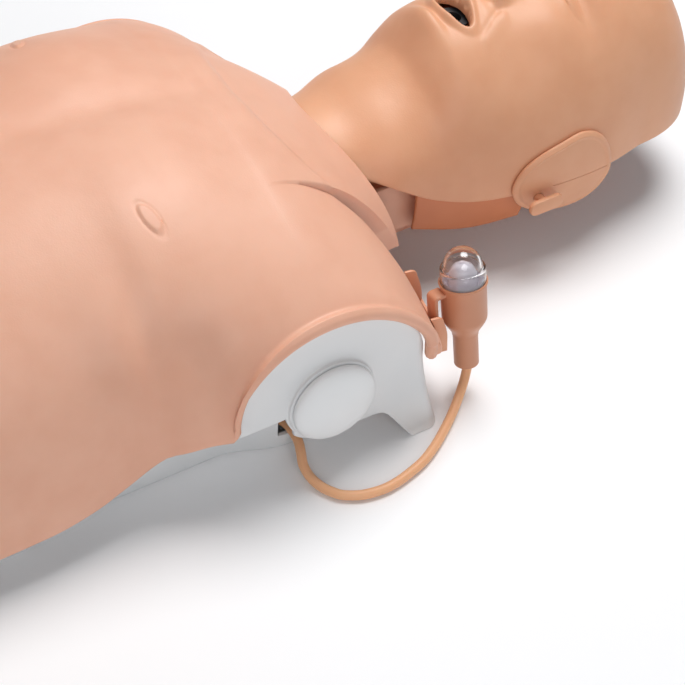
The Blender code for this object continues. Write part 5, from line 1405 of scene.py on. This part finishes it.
def make_barrel(place):
    top, cavity = BARREL_TOP, LAMP_CAVITY
    rim = LAMP_RADIUS + LAMP_RIM
    bore, depth = CABLE_RADIUS + GAP, 14 * MM
    bead = arc_points((rim - 1.1 * MM, top - 1.1 * MM), 1.1 * MM, 90, -20, 8)
    cone = [(mix(LAMP_RADIUS, SLEEVE_RADIUS + 0.4 * MM, ease(t)), mix(CONE_TOP, SLEEVE_LENGTH, t))
            for t in spaced((0.0, 1.0, 16))]
    foot = arc_points((SLEEVE_RADIUS - 1.2 * MM, 1.2 * MM), 1.2 * MM, 0, -90, 6)
    inner = [(bore, 0.0), (bore, depth), (2 * MM, depth), (2 * MM, CONE_TOP - 4 * MM),
             (cavity - 4 * MM, CONE_TOP), (cavity, CONE_TOP + 3 * MM), (cavity, top - LENS_SEAT)]
    lip = [(LAMP_RADIUS + GAP, top - LENS_SEAT), (LAMP_RADIUS + GAP, top)]
    profile = [*bead, (LAMP_RADIUS + 0.1 * MM, top - 3.4 * MM), *cone,
               (SLEEVE_RADIUS, SLEEVE_LENGTH - MM), *foot]
    housing = turned_mesh("lamp_housing", profile + inner + lip, 96, place)
    reach = -(LAMP_RADIUS + HOOK_REACH)
    high = top - 4.5 * MM
    tip = (POCKET_LOW + POCKET_WALL + HOOK_FIT - LAMP_Z) / math.cos(LAMP_LEAN)
    root = -LAMP_RADIUS + 0.8 * MM
    hook = [(root, high), (reach, high), (reach, tip), (reach + HOOK_THICK, tip),
            (reach + HOOK_THICK, high - HOOK_THICK), (root, high - HOOK_THICK)]
    outline = rounded(hook, [0, 4 * MM, 0.8 * MM, 0.8 * MM, 1.5 * MM, 0], 6)
    strap = plate_mesh("strap", outline, HOOK_WIDTH, place @ at(HOOK_SHIFT, 0, 0) @ FACING_X, 0.6 * MM)
    piece("lamp_barrel", union(housing, strap), LAMP, "torso", "lamp_plastic", "lamp_housing")


def make_lens(place):
    seat = BARREL_TOP - LENS_SEAT + GAP
    ring = LAMP_RADIUS
    centre = LENS_HEIGHT - LENS_DOME
    shell = arc_points((0, centre), LENS_DOME, 90, 4, 24)
    shell += [*arc_points((ring - 1.6 * MM, LENS_RING - 1.6 * MM), 1.6 * MM, 90, 0, 8), (ring, 0.0)]
    hollow = [(ring - LENS_WALL, 0.0), (ring - LENS_WALL, LENS_RING - 3.4 * MM)]
    hollow += arc_points((0, centre), LENS_DOME - LENS_WALL, 0, 90, 18)
    profile = [(r, z + seat) for r, z in shell + hollow]
    profile[0] = (0.0, profile[0][1])
    profile[-1] = (0.0, profile[-1][1])
    mesh = turned_mesh("lamp_lens", profile, 96, place)
    piece("lamp_cover", mesh, CLEAR, "torso", "clear_plastic", "lamp_lens")


def make_led(place):
    top = BARREL_TOP
    led_low, led_half = CONE_TOP + 3.4 * MM, LAMP_CAVITY - 0.6 * MM
    bowl = [(mix(LED_RADIUS, led_half, t), top - 3.4 * MM + 5 * MM * t * t) for t in spaced((0.0, 1.0, 8))]
    profile = [(0.0, top + LED_RADIUS + 4 * MM), *arc_points((0, top + 4 * MM), LED_RADIUS, 84, 0, 16),
               *bowl, (led_half, led_low), (0.0, led_low)]
    mesh = turned_mesh("lamp_led", profile, 64, place)
    piece("lamp_reflector_unit", mesh, REFLECTOR, "torso", "led_resin", "lamp_led")


def pocket_place():
    return (at(POCKET_X, front_edge_y(POCKET_X) + POCKET_CLEAR, 0)
            @ Matrix.Rotation(POCKET_TURN, 4, "Z"))


def fin_outline(across, top):
    """An end wall of the pocket as (ahead, z): it follows the skin up and has a round top corner."""
    spot = pocket_place() @ Vector((across, 0, 0))
    levels = spaced((SKIN_EDGE_Z, top - FIN_CORNER, 6), (top - FIN_CORNER, top, 1))
    rear = [(skin_ahead(spot.x, z) + POCKET_CLEAR - spot.y, z) for z in levels]
    front = [(min(ahead + FIN_WIDTH, POCKET_DEPTH), z) for ahead, z in rear[:-1]]
    corner = arc_points((front[-1][0] - FIN_CORNER, top - FIN_CORNER), FIN_CORNER, 0, 90, 8)[1:]
    back = -POCKET_WALL - POCKET_INSET
    foot = [(back, SKIN_EDGE_Z - MM), (back, POCKET_LOW), (POCKET_DEPTH + POCKET_INSET, POCKET_LOW)]
    return foot + front + corner + rear[::-1]


def make_pocket():
    half = POCKET_LENGTH / 2
    depth, wall, low = POCKET_DEPTH, POCKET_WALL, POCKET_LOW
    inset = POCKET_INSET
    place = pocket_place()
    mesh = block_mesh("pocket", (inset - half, inset - wall, low + inset),
                      (half - inset, depth - inset, low + wall), POCKET_EDGE, place)
    back = block_mesh("back", (2 * inset - half, -wall, low + 2 * inset),
                      (half - 2 * inset, 0, SKIN_EDGE_Z - 1.5 * MM), POCKET_EDGE, place)
    front = block_mesh("front", (2 * inset - half, depth - wall, low + 2 * inset),
                       (half - 2 * inset, depth, low + POCKET_LIP_RISE), POCKET_EDGE, place)
    mesh = union(mesh, back, front)
    for side, rise in ((-1, POCKET_INNER_RISE), (1, POCKET_OUTER_RISE)):
        across = side * (half - wall / 2)
        fin_place = place @ at(across, 0, 0) @ FACING_X
        mesh = union(mesh, plate_mesh("fin", fin_outline(across, low + rise), wall, fin_place, POCKET_EDGE))
    reach = place @ Vector((-4 * MM, -wall / 2, 0))
    arm = block_mesh("arm", (reach.x - 8 * MM, FRAME_FRONT_Y + GAP, low + 3 * inset),
                     (reach.x + 4 * MM, reach.y, DECK_TOP - 3 * MM), POCKET_EDGE)
    # The pocket's deeper colour is painted shade for its shaded inside.
    piece("lamp_pocket_moulding", union(mesh, arm), POCKET_PAINTED_SHADE, "torso", "skin", "lamp_pocket")


# Lung bag over the chest plate
BAG_LOW, BAG_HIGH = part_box("lung_bag")
BAG_WIDTH = ((0.0, 0.12), (0.12, 0.72), (0.3, 1.0), (0.7, 1.0), (0.9, 0.8), (1.0, 0.34))
SEAM = 0.5 * MM


def make_bag():
    """A flat bag of film with a welded seam, slightly filled."""
    middle = (BAG_LOW.x + BAG_HIGH.x) / 2
    half_width = (BAG_HIGH.x - BAG_LOW.x) / 2
    grid, walls = [], []
    for ahead in spaced((0.0, 1.0, 60)):
        row, thick = [], []
        for across in spaced((-1.0, 1.0, 44)):
            full = (1 - abs(across) ** 6) * ease(ahead / 0.16) * ease((1 - ahead) / 0.12)
            pucker = 0.12 * math.sin(across * 21) * math.sin(ahead * 26)
            thick.append(SEAM + (BAG_HIGH.z - BAG_LOW.z - SEAM) * full * (0.86 + pucker))
            row.append((middle + half_width * along(BAG_WIDTH, ahead) * across,
                        mix(BAG_LOW.y, BAG_HIGH.y, ahead), BAG_LOW.z + thick[-1]))
        grid.append(row)
        walls.append(thick)
    grid, walls = np.array(grid), np.array(walls)
    flat = grid.copy()
    flat[..., 2] = BAG_LOW.z + SEAM
    bag = sheet_shell("lung_bag", flat, SEAM)
    count = grid.shape[0] * grid.shape[1]
    for vertex in bag.vertices:
        if vertex.index < count and vertex.normal.z > 0.7:
            vertex.co.z += walls.reshape(-1)[vertex.index] - SEAM
    bag_piece = piece("lung_bag_film", bag, FILM, "chest", "bag_film", "lung_bag", sharp=70)


# Compression spring, as long as its CAD solid
SPRING_LOW, SPRING_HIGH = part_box("compression_spring")
SPRING_WIRE = 4.5 * MM
SPRING_TURNS = 7
CLOSED_TURNS = 0.6
TURN_STEPS = 36
WIRE_SIDES = 14


def make_spring():
    radius = (SPRING_HIGH.x - SPRING_LOW.x - SPRING_WIRE) / 2
    low, high = SPRING_LOW.z + SPRING_WIRE / 2, SPRING_HIGH.z - SPRING_WIRE / 2
    line = []
    for turn in spaced((0.0, SPRING_TURNS, SPRING_TURNS * TURN_STEPS)):
        angle = 2 * math.pi * turn
        rise = min(max((turn - CLOSED_TURNS) / (SPRING_TURNS - 2 * CLOSED_TURNS), 0.0), 1.0)
        x, y = radius * math.cos(angle), PRESS_Y + radius * math.sin(angle)
        line.append(Vector((x, y, mix(low, high, rise))))
    mesh = tube_mesh("return_spring", line, SPRING_WIRE / 2, WIRE_SIDES, Vector((0, 0, 1)))
    spring = piece("return_spring", mesh, SPRING, "torso", "steel", "compression_spring")
    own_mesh(spring)


def dress_inner_pieces():
    """The pieces inside keep their solids and get a finish that varies as the outer ones' do."""
    finishes = {
        STEEL: ("guide_rod", "trigger_magnet", "neck_pin", "lid_screw_front", "lid_screw_back",
                "bracket_screw_left", "bracket_screw_right",
                "frame_screw_1", "frame_screw_2", "frame_screw_3", "frame_screw_4"),
        BLACK: ("chest_plate", "guide_tube", "depth_switch", "electronics_box", "electronics_lid",
                "cable_gland", "airway_connector"),
        BOARD: ("circuit_board",),
        CELL_CAN: ("battery_1", "battery_2", "battery_3"),
    }
    for finish, names in finishes.items():
        for name in names:
            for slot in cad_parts[name].material_slots:
                slot.material = finish


make_camera()
make_cable()
make_skin()
make_frame()
make_arm_caps()
make_tray()
make_bracket()
make_mask()
make_skull()
for side, word in ((1, "left"), (-1, "right")):
    make_tab(side, word)
    make_peg(side, word)
for make in (make_barrel, make_lens, make_led):
    make(lamp_place())
make_pocket()
make_bag()
make_spring()
dress_inner_pieces()
make_floor()
make_surround()
